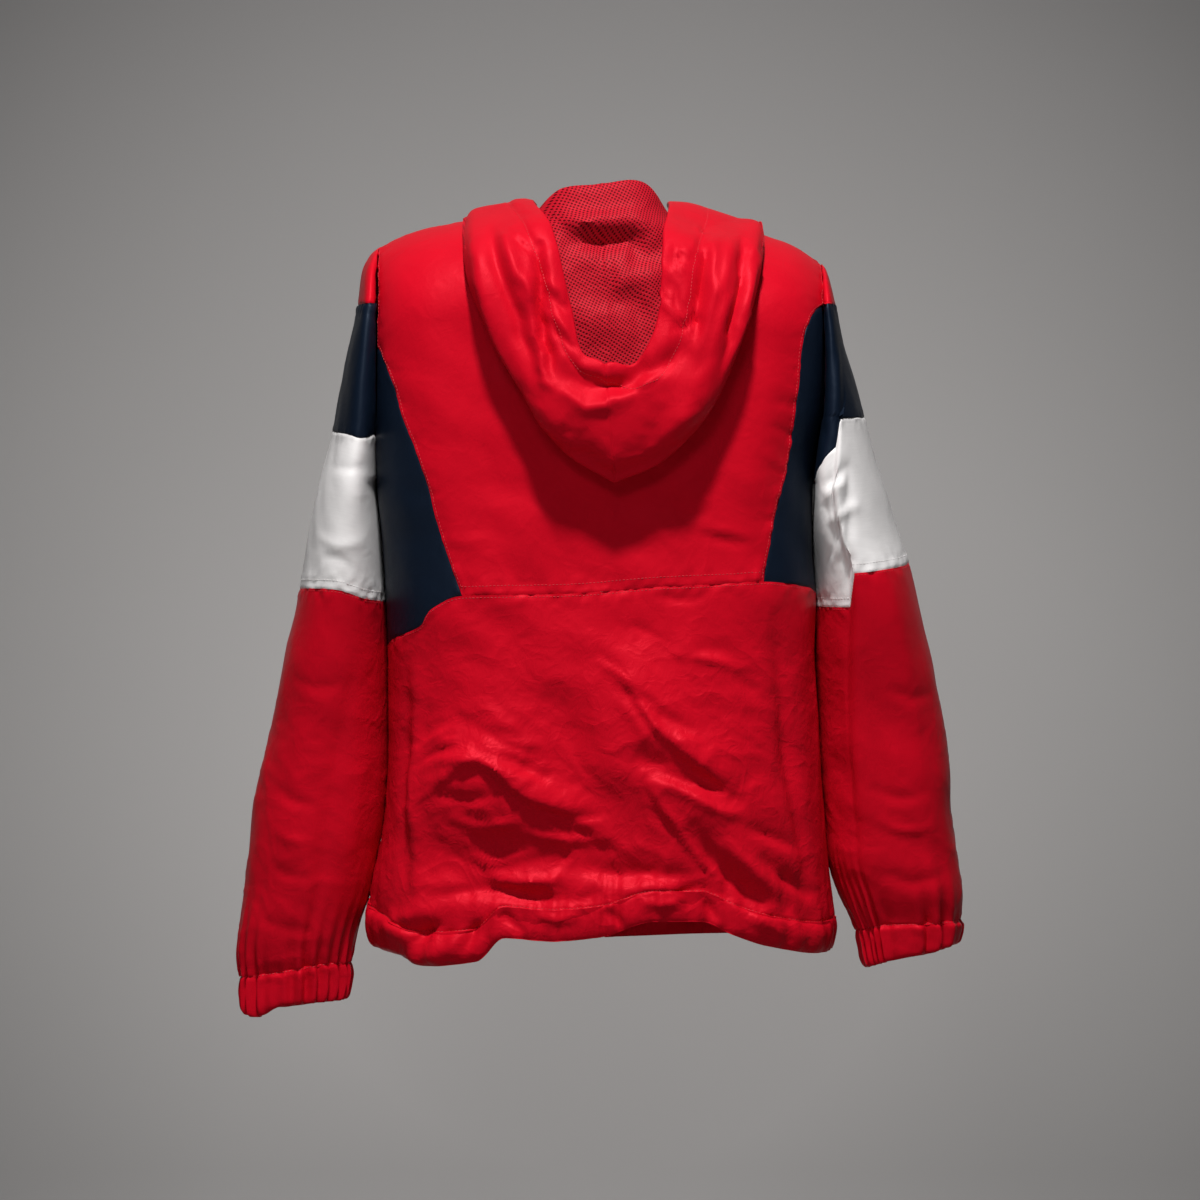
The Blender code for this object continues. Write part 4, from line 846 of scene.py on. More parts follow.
def sheet_object(name, grid, normal, wall, mat, closed=False):
    """A closed thin shell: the grid is its outer face, and its wall lies on the inner side.
    closed joins the last column to the first."""
    rows, columns = grid.shape[:2]
    count = rows * columns
    points = np.concatenate([grid.reshape(-1, 3), (grid - normal * wall).reshape(-1, 3)])
    number = np.arange(count).reshape(rows, columns)
    far = edge_lengths(grid)
    chart = np.stack([far["left"] - far["left"][:, columns // 2:columns // 2 + 1], -far["top"]], -1)
    if closed:
        number = np.concatenate([number, number[:, :1]], axis=1)
        step_last = np.linalg.norm(grid[:, 0] - grid[:, -1], axis=-1)
        last = chart[:, -1:] + np.stack([step_last, 0 * step_last], -1)[:, None]
        chart = np.concatenate([chart, last], axis=1)
    faces = shell_faces(number, closed, count)
    uv_faces = shell_faces(np.arange(chart.shape[0] * chart.shape[1]).reshape(chart.shape[:2]), closed, 0)
    across = grid[1:, 1:] - grid[1:, :-1]
    down = grid[1:, 1:] - grid[:-1, 1:]
    if (np.cross(across, down) * normal[1:, 1:]).sum() < 0:
        faces = faces[:, ::-1]
        uv_faces = uv_faces[:, ::-1]
    return new_object(name, points, faces, mat, chart.reshape(-1, 2)[uv_faces])


def dress(obj, slot, *nodes):
    """A finished piece rides on the jacket and stands for its CAD nodes, which are hidden; slot is not used.
    """
    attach(obj, BODY_NAME)
    if nodes:
        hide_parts(*nodes)
    return obj


LEAST_FILL = 0.36  # a slanting piece's box is taken no larger than its area over this


def flat_size(grid, fullness=1.0):
    """Width and length of a sheet's cut, and its area, in metres."""
    down = np.linalg.norm(np.diff(grid, axis=0), axis=-1).sum(0)
    across = np.linalg.norm(np.diff(grid, axis=1), axis=-1).sum(1)
    a = grid[:-1, 1:] - grid[:-1, :-1]
    b = grid[1:, :-1] - grid[:-1, :-1]
    area = np.linalg.norm(np.cross(a, b), axis=-1).sum()
    length = min(down.max(), area / (LEAST_FILL * across.max()))
    return (across.max() * fullness * MM, length * MM), area * fullness * MM * MM


def declare(obj, grid, held="draped", rests_on=(), fullness=1.0, with_pieces=()):
    flat, area = flat_size(grid, fullness)
    min(area, flat[0] * flat[1])


# Creases laid one by one. Each row is the half width, the height, the skew and the line as x and z,
# seen from behind for the back and from the front for the front.
BACK_CREASES = [
    (24, 3.5, 1, (-165, -60), (-150, -200), (-130, -330)),
    (18, -2.5, 1, (-122, -60), (-112, -180), (-92, -310)),
    (20, 3, 1, (158, -60), (150, -160), (128, -300)),
    (13, -2, 1, (180, -90), (172, -190), (152, -290)),
    (4, -2.4, 1.4, (88, -290), (112, -296), (134, -299)),
    (4, 1.6, 1, (86, -283), (110, -287), (138, -293)),
    (4, -1.8, 1.3, (156, -168), (172, -172), (186, -169)),
    (4, -1.8, 1.3, (152, -190), (168, -197), (184, -204)),
    (5, 1.6, 1, (146, -214), (162, -224), (178, -240)),
    (6, -1.6, 1.2, (54, -262), (80, -271), (104, -266)),
    (5, -1.5, 1.2, (-186, -240), (-170, -252), (-150, -250)),
    (6, 1.5, 1, (-150, -290), (-125, -297), (-98, -294)),
    (38, 8, 1, (8, -392), (60, -480), (112, -566), (152, -640)),
    (30, 7, 1, (-178, -585), (-136, -518), (-92, -528), (-36, -585)),
    (26, -5, 1, (-40, -420), (-20, -500), (20, -580)),
    (4, -3.2, 1.6, (-8, -398), (8, -407), (24, -420)),
    (5.5, -4.6, 1.5, (20, -428), (43, -446), (56, -466), (66, -490)),
    (5, -3.2, 1.4, (50, -453), (70, -463), (92, -477)),
    (6, 2.6, 1, (10, -436), (30, -458), (44, -484)),
    (9, -6.5, 1.7, (28, -490), (56, -503), (90, -519), (130, -533)),
    (5, 3, 0.8, (40, -512), (70, -522), (104, -540), (128, -546)),
    (11, -8.5, 1.5, (52, -524), (84, -568), (116, -602), (150, -632)),
    (9, 5, 1, (106, -566), (134, -596), (160, -622)),
    (6, -4.4, 1.3, (140, -582), (168, -605), (202, -624)),
    (5, -3, 1.3, (128, -556), (152, -566), (180, -578)),
    (26, -9, 1.5, (-176, -562), (-120, -588), (-60, -578), (0, -588), (60, -596)),
    (6, 3.2, 0.8, (-172, -506), (-140, -494), (-104, -500), (-62, -518)),
    (4, 2.6, 0.8, (-166, -486), (-150, -474), (-132, -462)),
    (3.6, -2.2, 1.4, (-122, -450), (-108, -456), (-94, -462)),
    (3.6, -2.4, 1.4, (-104, -464), (-88, -472), (-70, -478)),
    (4.2, -3.2, 1.4, (-98, -484), (-72, -501), (-46, -514)),
    (4, 2.2, 0.8, (-112, -476), (-90, -486), (-66, -494)),
    (5, -3, 1.4, (-150, -524), (-124, -532), (-92, -526)),
    (5, 3, 0.8, (-140, -548), (-108, -556), (-70, -550)),
    (4, 2.6, 0.8, (-128, -580), (-104, -588), (-74, -584)),
    (4, -2.6, 1.4, (-60, -540), (-28, -548), (6, -544)),
    (5, 2.4, 0.8, (-66, -562), (-30, -568), (10, -566)),
    (22, -3, 1, (-84, -350), (-66, -430), (-36, -515)),
    (18, 3, 1, (-20, -356), (-6, -440), (12, -530)),
    (8, 3.5, 1, (184, -350), (194, -430), (200, -540)),
    (5.5, -3.4, 1.6, (70, -402), (100, -396), (130, -407)),
    (4, -2.4, 1.4, (120, -417), (132, -427), (142, -440)),
    (3.6, -2.4, 1.4, (54, -346), (72, -350), (92, -348)),
    (3.2, -2, 1.4, (24, -372), (36, -377), (47, -378)),
    (8, 3.4, 1, (-170, -400), (-170, -520), (-166, -636)),
    (9, -2.6, 1, (-180, -400), (-180, -520), (-176, -640)),
    (7, -6, 1.5, (-160, -620), (-106, -614), (-53, -622), (4, -618)),
    (6, -4, 1.5, (-20, -594), (24, -600), (98, -600)),
    (5, 3, 1, (-110, -600), (-70, -606), (-30, -602)),
    (5, -3.5, 1.3, (60, -618), (90, -612), (124, -622)),
    (7, 3, 1, (10, -616), (44, -610), (74, -612)),
    (4, 6.5, 5.5, (-8, -399), (22, -424), (50, -466), (84, -496), (126, -524)),
    (4, 6, 5, (38, -512), (60, -545), (84, -578), (112, -608)),
    (3, 3.4, 4, (60, -400), (90, -403), (126, -413)),
    (4, 5.5, 5, (-168, -540), (-132, -505), (-106, -494), (-74, -526), (-24, -548), (36, -588)),
    (3, 3.2, 4, (-136, -448), (-112, -456), (-84, -476), (-52, -486)),
    (3, 3.4, 4, (-172, -500), (-146, -482), (-122, -476)),
    (10, -5, 1, (158, -352), (166, -450), (178, -540), (192, -628)),
]
HEM_CREASES = [
    (5, -6, 1, (-196, -680), (-172, -664), (-146, -642)),
    (10, 5, 1, (-200, -650), (-178, -640), (-150, -632)),
    (11, 5, 1, (-176, -684), (-150, -672), (-124, -660)),
    (5, -5, 1, (-112, -640), (-118, -656), (-130, -672)),
    (5, -3, 1, (-92, -632), (-84, -642), (-70, -652)),
    (5, 3, 1, (-60, -636), (-40, -640), (-18, -634)),
    (4, -3, 1, (2, -630), (14, -640), (22, -652)),
    (5, 3, 1, (34, -622), (56, -626), (76, -620)),
    (4, -3, 1, (92, -622), (100, -632), (104, -642)),
    (12, 4, 1, (128, -634), (152, -642), (184, -664)),
    (5, -3, 1, (150, -636), (166, -652), (176, -670)),
]
FRONT_CREASES = [
    (20, 3, 1, (-150, -70), (-140, -190), (-120, -320)),
    (20, 3, 1, (150, -70), (138, -190), (122, -320)),
    (14, -2.5, 1, (-100, -130), (-96, -220), (-80, -310)),
    (14, -2.5, 1, (100, -120), (94, -220), (84, -310)),
    (4, -2.2, 1.3, (-170, -205), (-150, -214), (-126, -212)),
    (4, -2.2, 1.3, (128, -196), (150, -202), (172, -196)),
    (5, 1.8, 1, (40, -250), (66, -258), (92, -254)),
    (5, -2, 1.3, (-90, -262), (-64, -270), (-36, -266)),
    (7, -4, 1.4, (-60, -408), (-92, -440), (-120, -486)),
    (9, -6, 1.5, (-150, -520), (-110, -548), (-60, -560), (-24, -566)),
    (8, 4, 1, (-150, -560), (-112, -582), (-66, -590)),
    (7, -4.4, 1.4, (46, -420), (84, -452), (118, -500)),
    (10, -7, 1.5, (40, -540), (84, -560), (130, -584)),
    (7, 4, 1, (60, -584), (98, -592), (140, -606)),
    (24, -7, 1.4, (-170, -600), (-90, -606), (-20, -600)),
    (22, -7, 1.4, (20, -606), (90, -600), (170, -608)),
    (4, -2.6, 1.4, (-132, -470), (-112, -480), (-88, -482)),
    (4, -2.6, 1.4, (-100, -500), (-76, -512), (-46, -514)),
    (4, 2.4, 1, (70, -476), (92, -486), (118, -490)),
    (5, -3, 1.4, (120, -530), (146, -538), (172, -534)),
    (8, 3, 1, (166, -400), (168, -500), (162, -620)),
    (8, 3, 1, (-166, -400), (-168, -500), (-162, -620)),
    (4, -2.2, 1.4, (-64, -372), (-44, -378), (-26, -376)),
    (4, -2.2, 1.4, (30, -384), (56, -390), (80, -386)),
]
SLEEVE_CREASES = {
    (LEFT, BACK): [
        (10, -5, 1, (-222, -390), (-246, -505), (-262, -624), (-276, -684)),
        (10, 3.5, 1, (-212, -464), (-224, -540), (-234, -622)),
        (12, 3, 1, (-258, -400), (-282, -520), (-300, -640)),
        (4, -1.8, 1.3, (-250, -226), (-230, -230), (-208, -227)),
        (5, 1.6, 1, (-262, -290), (-242, -300), (-216, -296)),
        (4, -1.6, 1.3, (-226, -322), (-240, -312), (-258, -310)),
        (5, -2.5, 1.3, (-284, -420), (-264, -430), (-240, -428)),
        (5, -2.8, 1.3, (-300, -520), (-284, -534), (-262, -538)),
        (5, -3, 1.3, (-308, -590), (-290, -602), (-268, -604)),
        (4, 2.2, 1, (-304, -560), (-284, -570), (-262, -572)),
        (6, -3.5, 1.3, (-318, -640), (-296, -652), (-262, -656)),
    ],
    (RIGHT, BACK): [
        (6, -5, 1, (201, -105), (200, -150), (203, -205)),
        (7, 3.5, 1, (217, -118), (214, -160), (213, -208)),
        (4, -3.6, 1.6, (200, -248), (212, -240), (226, -226)),
        (4, -3.2, 1.5, (204, -318), (214, -290), (226, -250)),
        (5, 3, 1, (200, -262), (210, -250), (224, -240)),
        (5, -4, 1, (222, -345), (226, -300), (226, -220)),
        (6, 3.5, 0.8, (203, -281), (218, -272), (236, -261)),
        (6, -3.5, 1, (202, -250), (206, -275), (210, -300)),
        (5, -2, 1.3, (212, -320), (222, -314), (234, -316)),
        (12, 3, 1, (262, -320), (284, -440), (298, -560)),
        (9, -4, 1, (244, -400), (256, -500), (266, -600)),
        (7, 3, 1, (222, -380), (226, -460), (236, -540)),
        (5, -2.6, 1.3, (262, -430), (284, -440), (304, -436)),
        (5, -3, 1.3, (246, -520), (270, -532), (300, -528)),
        (5, 2.6, 1, (250, -552), (276, -562), (306, -558)),
        (6, -3.6, 1.3, (252, -596), (282, -610), (318, -604)),
    ],
    (LEFT, FRONT): [
        (10, -5, 1, (-224, -380), (-240, -480), (-256, -600)),
        (11, 3.5, 1, (-256, -400), (-276, -520), (-292, -640)),
        (5, -2.6, 1.3, (-282, -440), (-262, -452), (-236, -450)),
        (5, -3, 1.3, (-304, -560), (-284, -572), (-258, -574)),
        (5, -2.2, 1.3, (-256, -220), (-234, -230), (-210, -226)),
        (5, 2, 1, (-260, -290), (-240, -300), (-214, -296)),
    ],
    (RIGHT, FRONT): [
        (10, -5, 1, (226, -360), (242, -470), (258, -590)),
        (11, 3.5, 1, (256, -380), (276, -500), (292, -620)),
        (5, -2.6, 1.3, (234, -430), (258, -444), (284, -440)),
        (5, -3, 1.3, (254, -540), (280, -552), (306, -548)),
        (5, -2.2, 1.3, (206, -210), (230, -220), (252, -214)),
        (5, 2, 1, (210, -286), (236, -296), (262, -290)),
    ],
}
# On the hood a positive height stands towards someone behind the jacket, on the pouch's outer
# face and on the lining inside the opening alike.
POUCH_CREASES = [
    (5, -9, 1, (-58, 6), (-57, -45), (-57, -85), (-51, -118), (-45, -152)),
    (4, 5, 1, (-66, -58), (-61, -100), (-53, -135), (-48, -156), (-40, -159)),
    (7, 6, 1, (-92, 10), (-84, -25), (-73, -60), (-63, -94)),
    (6, -6, 1, (-101, 6), (-96, -30), (-85, -75), (-73, -115), (-60, -150)),
    (8, 5, 1, (-116, -6), (-110, -55), (-94, -112), (-72, -160)),
    (3.5, 3, 1, (-86, 2), (-74, -12), (-62, -24)),
    (3.5, -3, 1, (-82, -8), (-71, -25), (-60, -36)),
    (10, -9, 1, (-44, -138), (-20, -154), (5, -157), (35, -146), (62, -131), (82, -118)),
    (7, 5.5, 0.8, (-44, -162), (-32, -167), (-12, -178), (6, -172), (22, -165), (42, -153), (66, -144)),
    (5, -8, 1, (92, 0), (91, -45), (88, -90), (84, -114)),
    (6, 5, 1, (101, 4), (99, -40), (96, -90), (88, -132)),
    (7, 5, 1, (118, 0), (114, -50), (106, -100), (92, -150)),
    (4, -7, 1, (130, -6), (127, -50), (119, -100), (106, -146)),
    (6, 5, 1, (140, -14), (136, -55), (126, -100), (112, -145)),
    (12, 5, 1, (-62, -168), (-42, -198), (-20, -220)),
    (12, -4, 1, (-36, -186), (-22, -208), (-8, -232)),
    (12, -4, 1, (66, -158), (50, -190), (30, -222)),
    (12, 4, 1, (88, -140), (78, -180), (56, -206)),
    (3, -4, 1, (74, 16), (84, 6), (93, -6)),
    (3, -4, 1, (83, 17), (94, 4), (99, -4)),
    (3, 3, 1, (78, 18), (88, 6), (96, -6)),
    (3.5, 2.8, 1, (-56, -60), (-44, -67), (-32, -76)),
    (3, -2.8, 1, (-56, -70), (-43, -78), (-29, -91)),
    (3.5, 2.6, 1, (-52, -87), (-40, -98), (-28, -112)),
    (3, -2.8, 1, (-46, -105), (-34, -116), (-24, -126)),
    (3, 2.4, 1, (58, -28), (70, -33), (88, -27)),
    (3, -2.4, 1, (57, -38), (70, -44), (86, -39)),
    (3, 2.4, 1, (55, -52), (66, -50), (80, -43)),
    (3, -2.8, 1, (52, -66), (64, -72), (76, -88)),
    (3, 2.6, 1, (50, -80), (60, -84), (70, -98)),
    (3, 3.2, 1, (72, -99), (79, -91), (85, -84)),
    (3, -4, 1, (60, -106), (72, -102), (84, -99)),
]
LINING_CREASES = [
    (15, 10, 1, (-48, 12), (-10, 14), (25, 12), (62, 2)),
    (15, -11, 1, (-40, -16), (-8, -20), (24, -26), (58, -34)),
    (13, 7, 1, (-34, -52), (-4, -50), (24, -58), (54, -66)),
    (7, 5, 0.7, (-26, -36), (-2, -34), (22, -42), (56, -56)),
    (6, -4, 1, (-34, -44), (-20, -50), (-6, -54)),
    (9, -5, 1, (-4, -62), (14, -72), (32, -84), (52, -92)),
    (12, 6, 1, (-30, -84), (-4, -94), (32, -100)),
    (5, 2.5, 1, (-16, -108), (4, -114), (26, -108)),
    (5, -5, 1, (-46, 16), (-40, 10), (-34, 4)),
    (4, -2, 1, (-4, -8), (-1, -30), (2, -50)),
]


def laid(rows, place):
    """Crease rows with each line laid on the form by a function of its x and z."""
    lines = []
    for width, tall, skew, *points in rows:
        flat = curve_through(points, CREASE_STEPS)
        lines.append((width, tall, skew, place(flat[:, 0], flat[:, 1])))
    return lines


def on_body(face, rows):
    """Crease rows laid on the back or front of the body."""
    def place(x, z):
        limit = 0.985 * body_width(x, z)
        x = np.clip(x, -limit, limit)
        return body_at(x, cloth_down(x, z), face)
    return laid(rows, place)


def on_sleeve(side, face, rows):
    """Crease rows laid on the back or front of a sleeve."""
    def place(x, z):
        ring_at = sleeve(side, face * np.linspace(0.03, 0.97, 120)[None, :], z[:, None])
        return ring_at[np.arange(len(x)), np.abs(ring_at[..., 0] - x[:, None]).argmin(1)]
    return laid(rows, place)


def on_grid(grid, rows):
    """Crease rows laid on the nearest points of a grid, as seen from behind."""
    spots = grid.reshape(-1, 3)

    def place(x, z):
        return spots[((spots[:, 0] - x[:, None]) ** 2 + (spots[:, 2] - z[:, None]) ** 2).argmin(1)]
    return laid(rows, place)


def crumpled(grid, seed, amount, where=1.0):
    """Broad unevenness and small sharp creases of thin nylon; amount is the creases' height."""
    broad = waves(grid, seed, 12, 70, 170) * 1.1
    middle = waves(turned(grid, 30), seed + 5, 14, 26, 60, (1.8, 1, 1)) * 0.45
    share = bpy.context.scene.jacket_sizes.crumple
    sharp = sharp_creases(grid, seed + 9, 22, 60, 35, 1.7) * amount * share
    return (broad + middle + sharp) * where


SIDE_NEAR = 172
SIDE_FAR = 200
SIDE_CALM = 0.2
ARM_PRESS = 0.4  # the side stands out this much towards the sleeve
LAID_SHARE = 1.5  # of the laid creases' height


def body_relief(grid, normal, seed=3):
    """How far the body's cloth stands off its form, at any of its points."""
    lines = on_body(BACK, BACK_CREASES + HEM_CREASES)
    back = crease_height(grid, normal, lines) * (normal[..., 1] < 0.25)
    front = crease_height(grid, normal, on_body(FRONT, FRONT_CREASES)) * (normal[..., 1] > -0.25)
    low = step(-grid[..., 2], 380, 520)
    is_back = grid[..., 1] < 0
    spots = blob(grid, -110, -520, 75, 70) + blob(grid, 90, -510, 75, 75) + blob(grid, 0, -600, 150, 30)
    amount = 0.35 + 0.35 * low + np.where(is_back, 1.0 * np.clip(spots, 0, 1), 0.7 * low)
    under_hood = np.where(is_back, step(-grid[..., 2], 60, 250), step(-grid[..., 2], 40, 120))
    at_side = step(np.abs(grid[..., 0]), SIDE_NEAR, SIDE_FAR)
    calm = 1 - (1 - SIDE_CALM) * at_side * step(-grid[..., 2], 60, 130)
    rough = crumpled(grid, seed, amount) * (0.25 + 0.75 * under_hood)
    laid = LAID_SHARE * (0.6 + 0.4 * low)
    at_arm = step(np.abs(grid[..., 0]), SIDE_FAR - 14, SIDE_FAR - 2) * step(-grid[..., 2], 230, 270)
    return (back + front) * laid * (0.35 + 0.65 * calm) + rough * calm + ARM_PRESS * at_arm


GATHER_REACH = 34.0


def pipes(along, pitch, seed):
    """Uneven gathers: a wave along a seam, about the given length from crest to crest."""
    rng = np.random.default_rng(seed)
    phase = along * 2 * math.pi / pitch
    tall = np.ones_like(along)
    for _ in range(5):
        length = rng.uniform(3, 11) * pitch
        phase = phase + 0.5 * np.sin(along * 2 * math.pi / length + rng.uniform(0, 6.28))
        tall = tall + 0.28 * np.sin(along * 2 * math.pi / (length * 0.7) + rng.uniform(0, 6.28))
    return np.sin(phase) * np.clip(tall, 0.2, 1.8)


HEM_PITCH = 21.0
HEM_GATHER = 0.9
HEM_ROUND = 3.6  # millimetres of hem for a degree of turn, nearly


def hem_gathers(grid, degrees, far):
    """Gathers of the body above and on the hem casing, at a distance from its seam."""
    return HEM_GATHER * pipes(degrees * HEM_ROUND, HEM_PITCH, 7) * np.exp(-(far / GATHER_REACH) ** 1.3)


CLOTH_SHEETS = {}  # the finished grids and normals of the cloth by node, for the stitching


def fresh_normals(grid, like):
    """Normals of a finished grid, on the same side as its form's normals."""
    normal = unit(np.cross(np.gradient(grid, axis=1), np.gradient(grid, axis=0)))
    return normal if (normal * like).sum() > 0 else -normal


GAP = 0.02  # half the gap between two sheets at a seam


def pulled_in(grid, sides="top bottom left right"):
    """The grid with its named edges moved in by the small gap at a seam."""
    grid = grid.copy()
    pairs = {
        "top": ((0, slice(None)), (1, slice(None))),
        "bottom": ((-1, slice(None)), (-2, slice(None))),
        "left": ((slice(None), 0), (slice(None), 1)),
        "right": ((slice(None), -1), (slice(None), -2)),
    }
    for side in sides.split():
        edge, inner = pairs[side]
        way = grid[inner] - grid[edge]
        length = np.maximum(np.linalg.norm(way, axis=-1, keepdims=True), 1e-9)
        grid[edge] = grid[edge] + way / length * np.minimum(GAP, 0.4 * length)
    return grid


def lay_cloth(node, grid, normal, form, mat, slot, wall=None, closed=False, **cut):
    """One piece of cloth as a thin shell in its CAD node's place."""
    obj = sheet_object(node + "_sheet", grid, normal, wall or millimetres("wall"), mat, closed)
    CLOTH_SHEETS[node] = (grid, normal)
    dress(obj, slot, node)
    declare(obj, form, **cut)


def finish_sheet(node, form, normal, height, cloth="red", sides="top bottom left right", **cut):
    """One piece of nylon from its form, its normals and how far it stands off."""
    grid = pulled_in(form + normal * height[..., None], sides)
    lay_cloth(node, grid, fresh_normals(grid, normal), form, nylon(cloth), cloth + "_nylon", **cut)


# --- the body's sheets ---

BODY_TALL = 345
LOWER_TALL = 285
STITCH_IN = 2.2  # topstitching beside a seam
WAIST_STITCH = 9.0  # topstitching above the waist seam
ZIP_STITCH = 5.0  # and beside the zip
SLEEVE_STITCH = 2.0
BAND_STITCH = 8.5
CASING_STITCH = 1.6


def front_edge_angle():
    """Direction of the right front's edge beside the zip."""
    return math.degrees(math.atan2(body_depth(FRONT, -350), FRONT_EDGE))


def back_upper_form():
    columns = cells_along(2 * SHOULDER_STEPS + 2 * NECK_STEPS, 400)
    rows = cells_along(10, BODY_TALL + 40)
    last = columns[-1]
    neck_x, neck_s = neck_points(BACK, np.clip((columns - SHOULDER_STEPS) / (2 * NECK_STEPS), 0, 1))
    left = LEFT * np.interp(columns, [0, SHOULDER_STEPS], [ARMHOLE[LEFT]["plane"], NECK_HALF])
    right = np.interp(last - columns, [0, SHOULDER_STEPS], [ARMHOLE[RIGHT]["plane"], NECK_HALF])
    x = np.where(columns < SHOULDER_STEPS, left, np.where(columns > last - SHOULDER_STEPS, right, neck_x))
    on_neck = (columns >= SHOULDER_STEPS) & (columns <= last - SHOULDER_STEPS)
    top = np.stack([x, np.where(on_neck, neck_s, 0)], -1)
    angles = waist_end(LEFT, BACK) + (waist_end(RIGHT, BACK) - waist_end(LEFT, BACK)) * columns / last
    bottom = in_cloth(waist_points(angles))
    left_edge = edge_rows(LEFT, BACK, rows)
    right_edge = edge_rows(RIGHT, BACK, rows)
    return body_grid(coons(top, bottom, left_edge, right_edge, columns / last, rows / rows[-1]), BACK)


def make_back_upper():
    grid, normal = back_upper_form()
    stitched = [("bottom", WAIST_STITCH), ("left", STITCH_IN), ("right", STITCH_IN)]
    height = body_relief(grid, normal) + sewn(grid, "top bottom left right", stitched, 11)
    finish_sheet("back_upper", grid, normal, height)


def front_upper_form(side):
    """The left or right front above the waist; its columns run from the armhole to the zip."""
    columns = cells_along(SHOULDER_STEPS + FRONT_STEPS, 215)
    count = PANEL_CORNER[side] + PRINCESS_STEPS[side]
    rows = cells_along(count, BODY_TALL + 50)
    last = columns[-1]
    neck_x, neck_s = neck_points(FRONT, np.clip((columns - SHOULDER_STEPS) / FRONT_STEPS, 0, 1))
    shoulder = side * np.interp(columns, [0, SHOULDER_STEPS], [ARMHOLE[side]["plane"], NECK_HALF])
    x = np.where(columns < SHOULDER_STEPS, shoulder, -side * neck_x)
    top = np.stack([x, np.where(columns < SHOULDER_STEPS, 0, neck_s)], -1)
    middle = 180 - front_edge_angle() if side < 0 else front_edge_angle()
    angles = np.interp(columns, [0, last], [waist_end(side, FRONT), middle])
    bottom = in_cloth(waist_points(angles))
    zip_x = np.linspace(side * FRONT_EDGE, bottom[-1, 0], len(rows))
    zip_rows = np.interp(rows / rows[-1], [0, 1], [NECK_FRONT, bottom[-1, 1]])
    zip_edge = np.stack([zip_x, zip_rows], -1)
    side_edge = edge_rows(side, FRONT, rows)
    return body_grid(coons(top, bottom, side_edge, zip_edge, columns / last, rows / rows[-1]), FRONT)


def make_front_upper(side):
    grid, normal = front_upper_form(side)
    stitched = [("bottom", WAIST_STITCH), ("left", STITCH_IN), ("right", ZIP_STITCH)]
    height = body_relief(grid, normal) + sewn(grid, "top bottom left right", stitched, 13 + side)
    height = height * np.clip(edge_lengths(grid)["right"] / ZIP_CALM, 0.1, 1)
    finish_sheet("front_upper_" + WORDS[side], grid, normal, height)


def make_side(side):
    middle = 0 if side > 0 else 180
    steps = SIDE_STEPS[side]
    columns = cells_along(2 * steps, 200)
    rows = cells_along(PRINCESS_STEPS[side], 190)
    station = PANEL_CORNER[side] + np.minimum(columns, 2 * steps - columns)
    on_back = (columns <= steps)[:, None]
    arc = np.where(on_back, armhole_by(side, station, BACK), armhole_by(side, station, FRONT))
    edges = []
    for points in (arc, princess(side, BACK, rows / rows[-1]), princess(side, FRONT, rows / rows[-1])):
        edges.append(np.stack([around(direction(points), middle), points[:, 2]], -1))
    ends = [around(waist_end(side, BACK), middle), middle, around(waist_end(side, FRONT), middle)]
    angles = np.interp(columns, [0, steps, 2 * steps], ends)
    bottom = np.stack([angles, soft(WAIST, "z", around(angles, 0))], -1)
    grid, normal = ring_grid(
        coons(edges[0], bottom, edges[1], edges[2], columns / columns[-1], rows / rows[-1]))
    height = body_relief(grid, normal) * 0.8 + sewn(grid, "top bottom left right", (), 17 + side)
    finish_sheet("side_" + WORDS[side], grid, normal, height, "navy")


def lower_form(angles):
    """A lower panel from the waist seam to the hem casing, and the distance to its lower edge."""
    rows = cells_along(6, LOWER_TALL) / 6
    top = soft(WAIST, "z", around(angles, 0))[None]
    bottom = hem_top(angles)[None]
    z = top + (bottom - top) * rows[:, None]
    flat = np.stack([np.broadcast_to(angles, z.shape), z], -1)
    return *ring_grid(flat), flat[..., 0]


def make_lower(name, first, last):
    angles = first + (last - first) * cells_along(10, abs(last - first) * 3.3) / 10
    grid, normal, degrees = lower_form(angles)
    far = edge_lengths(grid)
    height = body_relief(grid, normal) + sewn(grid, "top bottom left right", [("top", STITCH_IN)], 23)
    height = height + hem_gathers(grid, around(degrees, -90), far["bottom"])
    at_zip = far["left" if abs(around(first, 90) - 90) < 10 else "right"]
    if name != "back_lower":
        height = height * np.clip(at_zip / ZIP_CALM, 0.1, 1)
        near = step(-grid[..., 2], 535, 590) * np.clip(1 - at_zip / ZIP_NEAR, 0, 1)
        grid[..., 0] -= np.sign(grid[..., 0]) * ZIP_LAP * near
        grid[..., 1] -= ZIP_PRESS * near
    finish_sheet(name, grid, normal, height)


def make_lowers():
    edge = front_edge_angle()
    make_lower("back_lower", -180.0, 0.0)
    make_lower("front_lower_left", 180.0 - edge, 180.0)
    make_lower("front_lower_right", edge, 0.0)


TUCK_UP = 1.6  # the casing and cuffs reach this far up behind the cloth above
TUCK_IN = 0.75
ZIP_CALM = 8  # the creases die out over this length beside the zip
ZIP_NEAR = 14  # and the fronts lie closer over this length
ZIP_ROUND = 2.2  # millimetres of casing for a degree of turn beside the zip
CASING_DOWN = np.linspace(0, 7, 34)  # rows of a casing, in steps of its table
ZIP_LAP = 2.4  # the fronts reach this much further over the zip's narrow lower end
ZIP_PRESS = 1.3  # and lie this much closer to it


def tucked(grid, out):
    """The grid with one more row at its top, tucked up behind the cloth above."""
    return np.concatenate([grid[:1] + [0, 0, TUCK_UP] - out[:1] * TUCK_IN, grid])


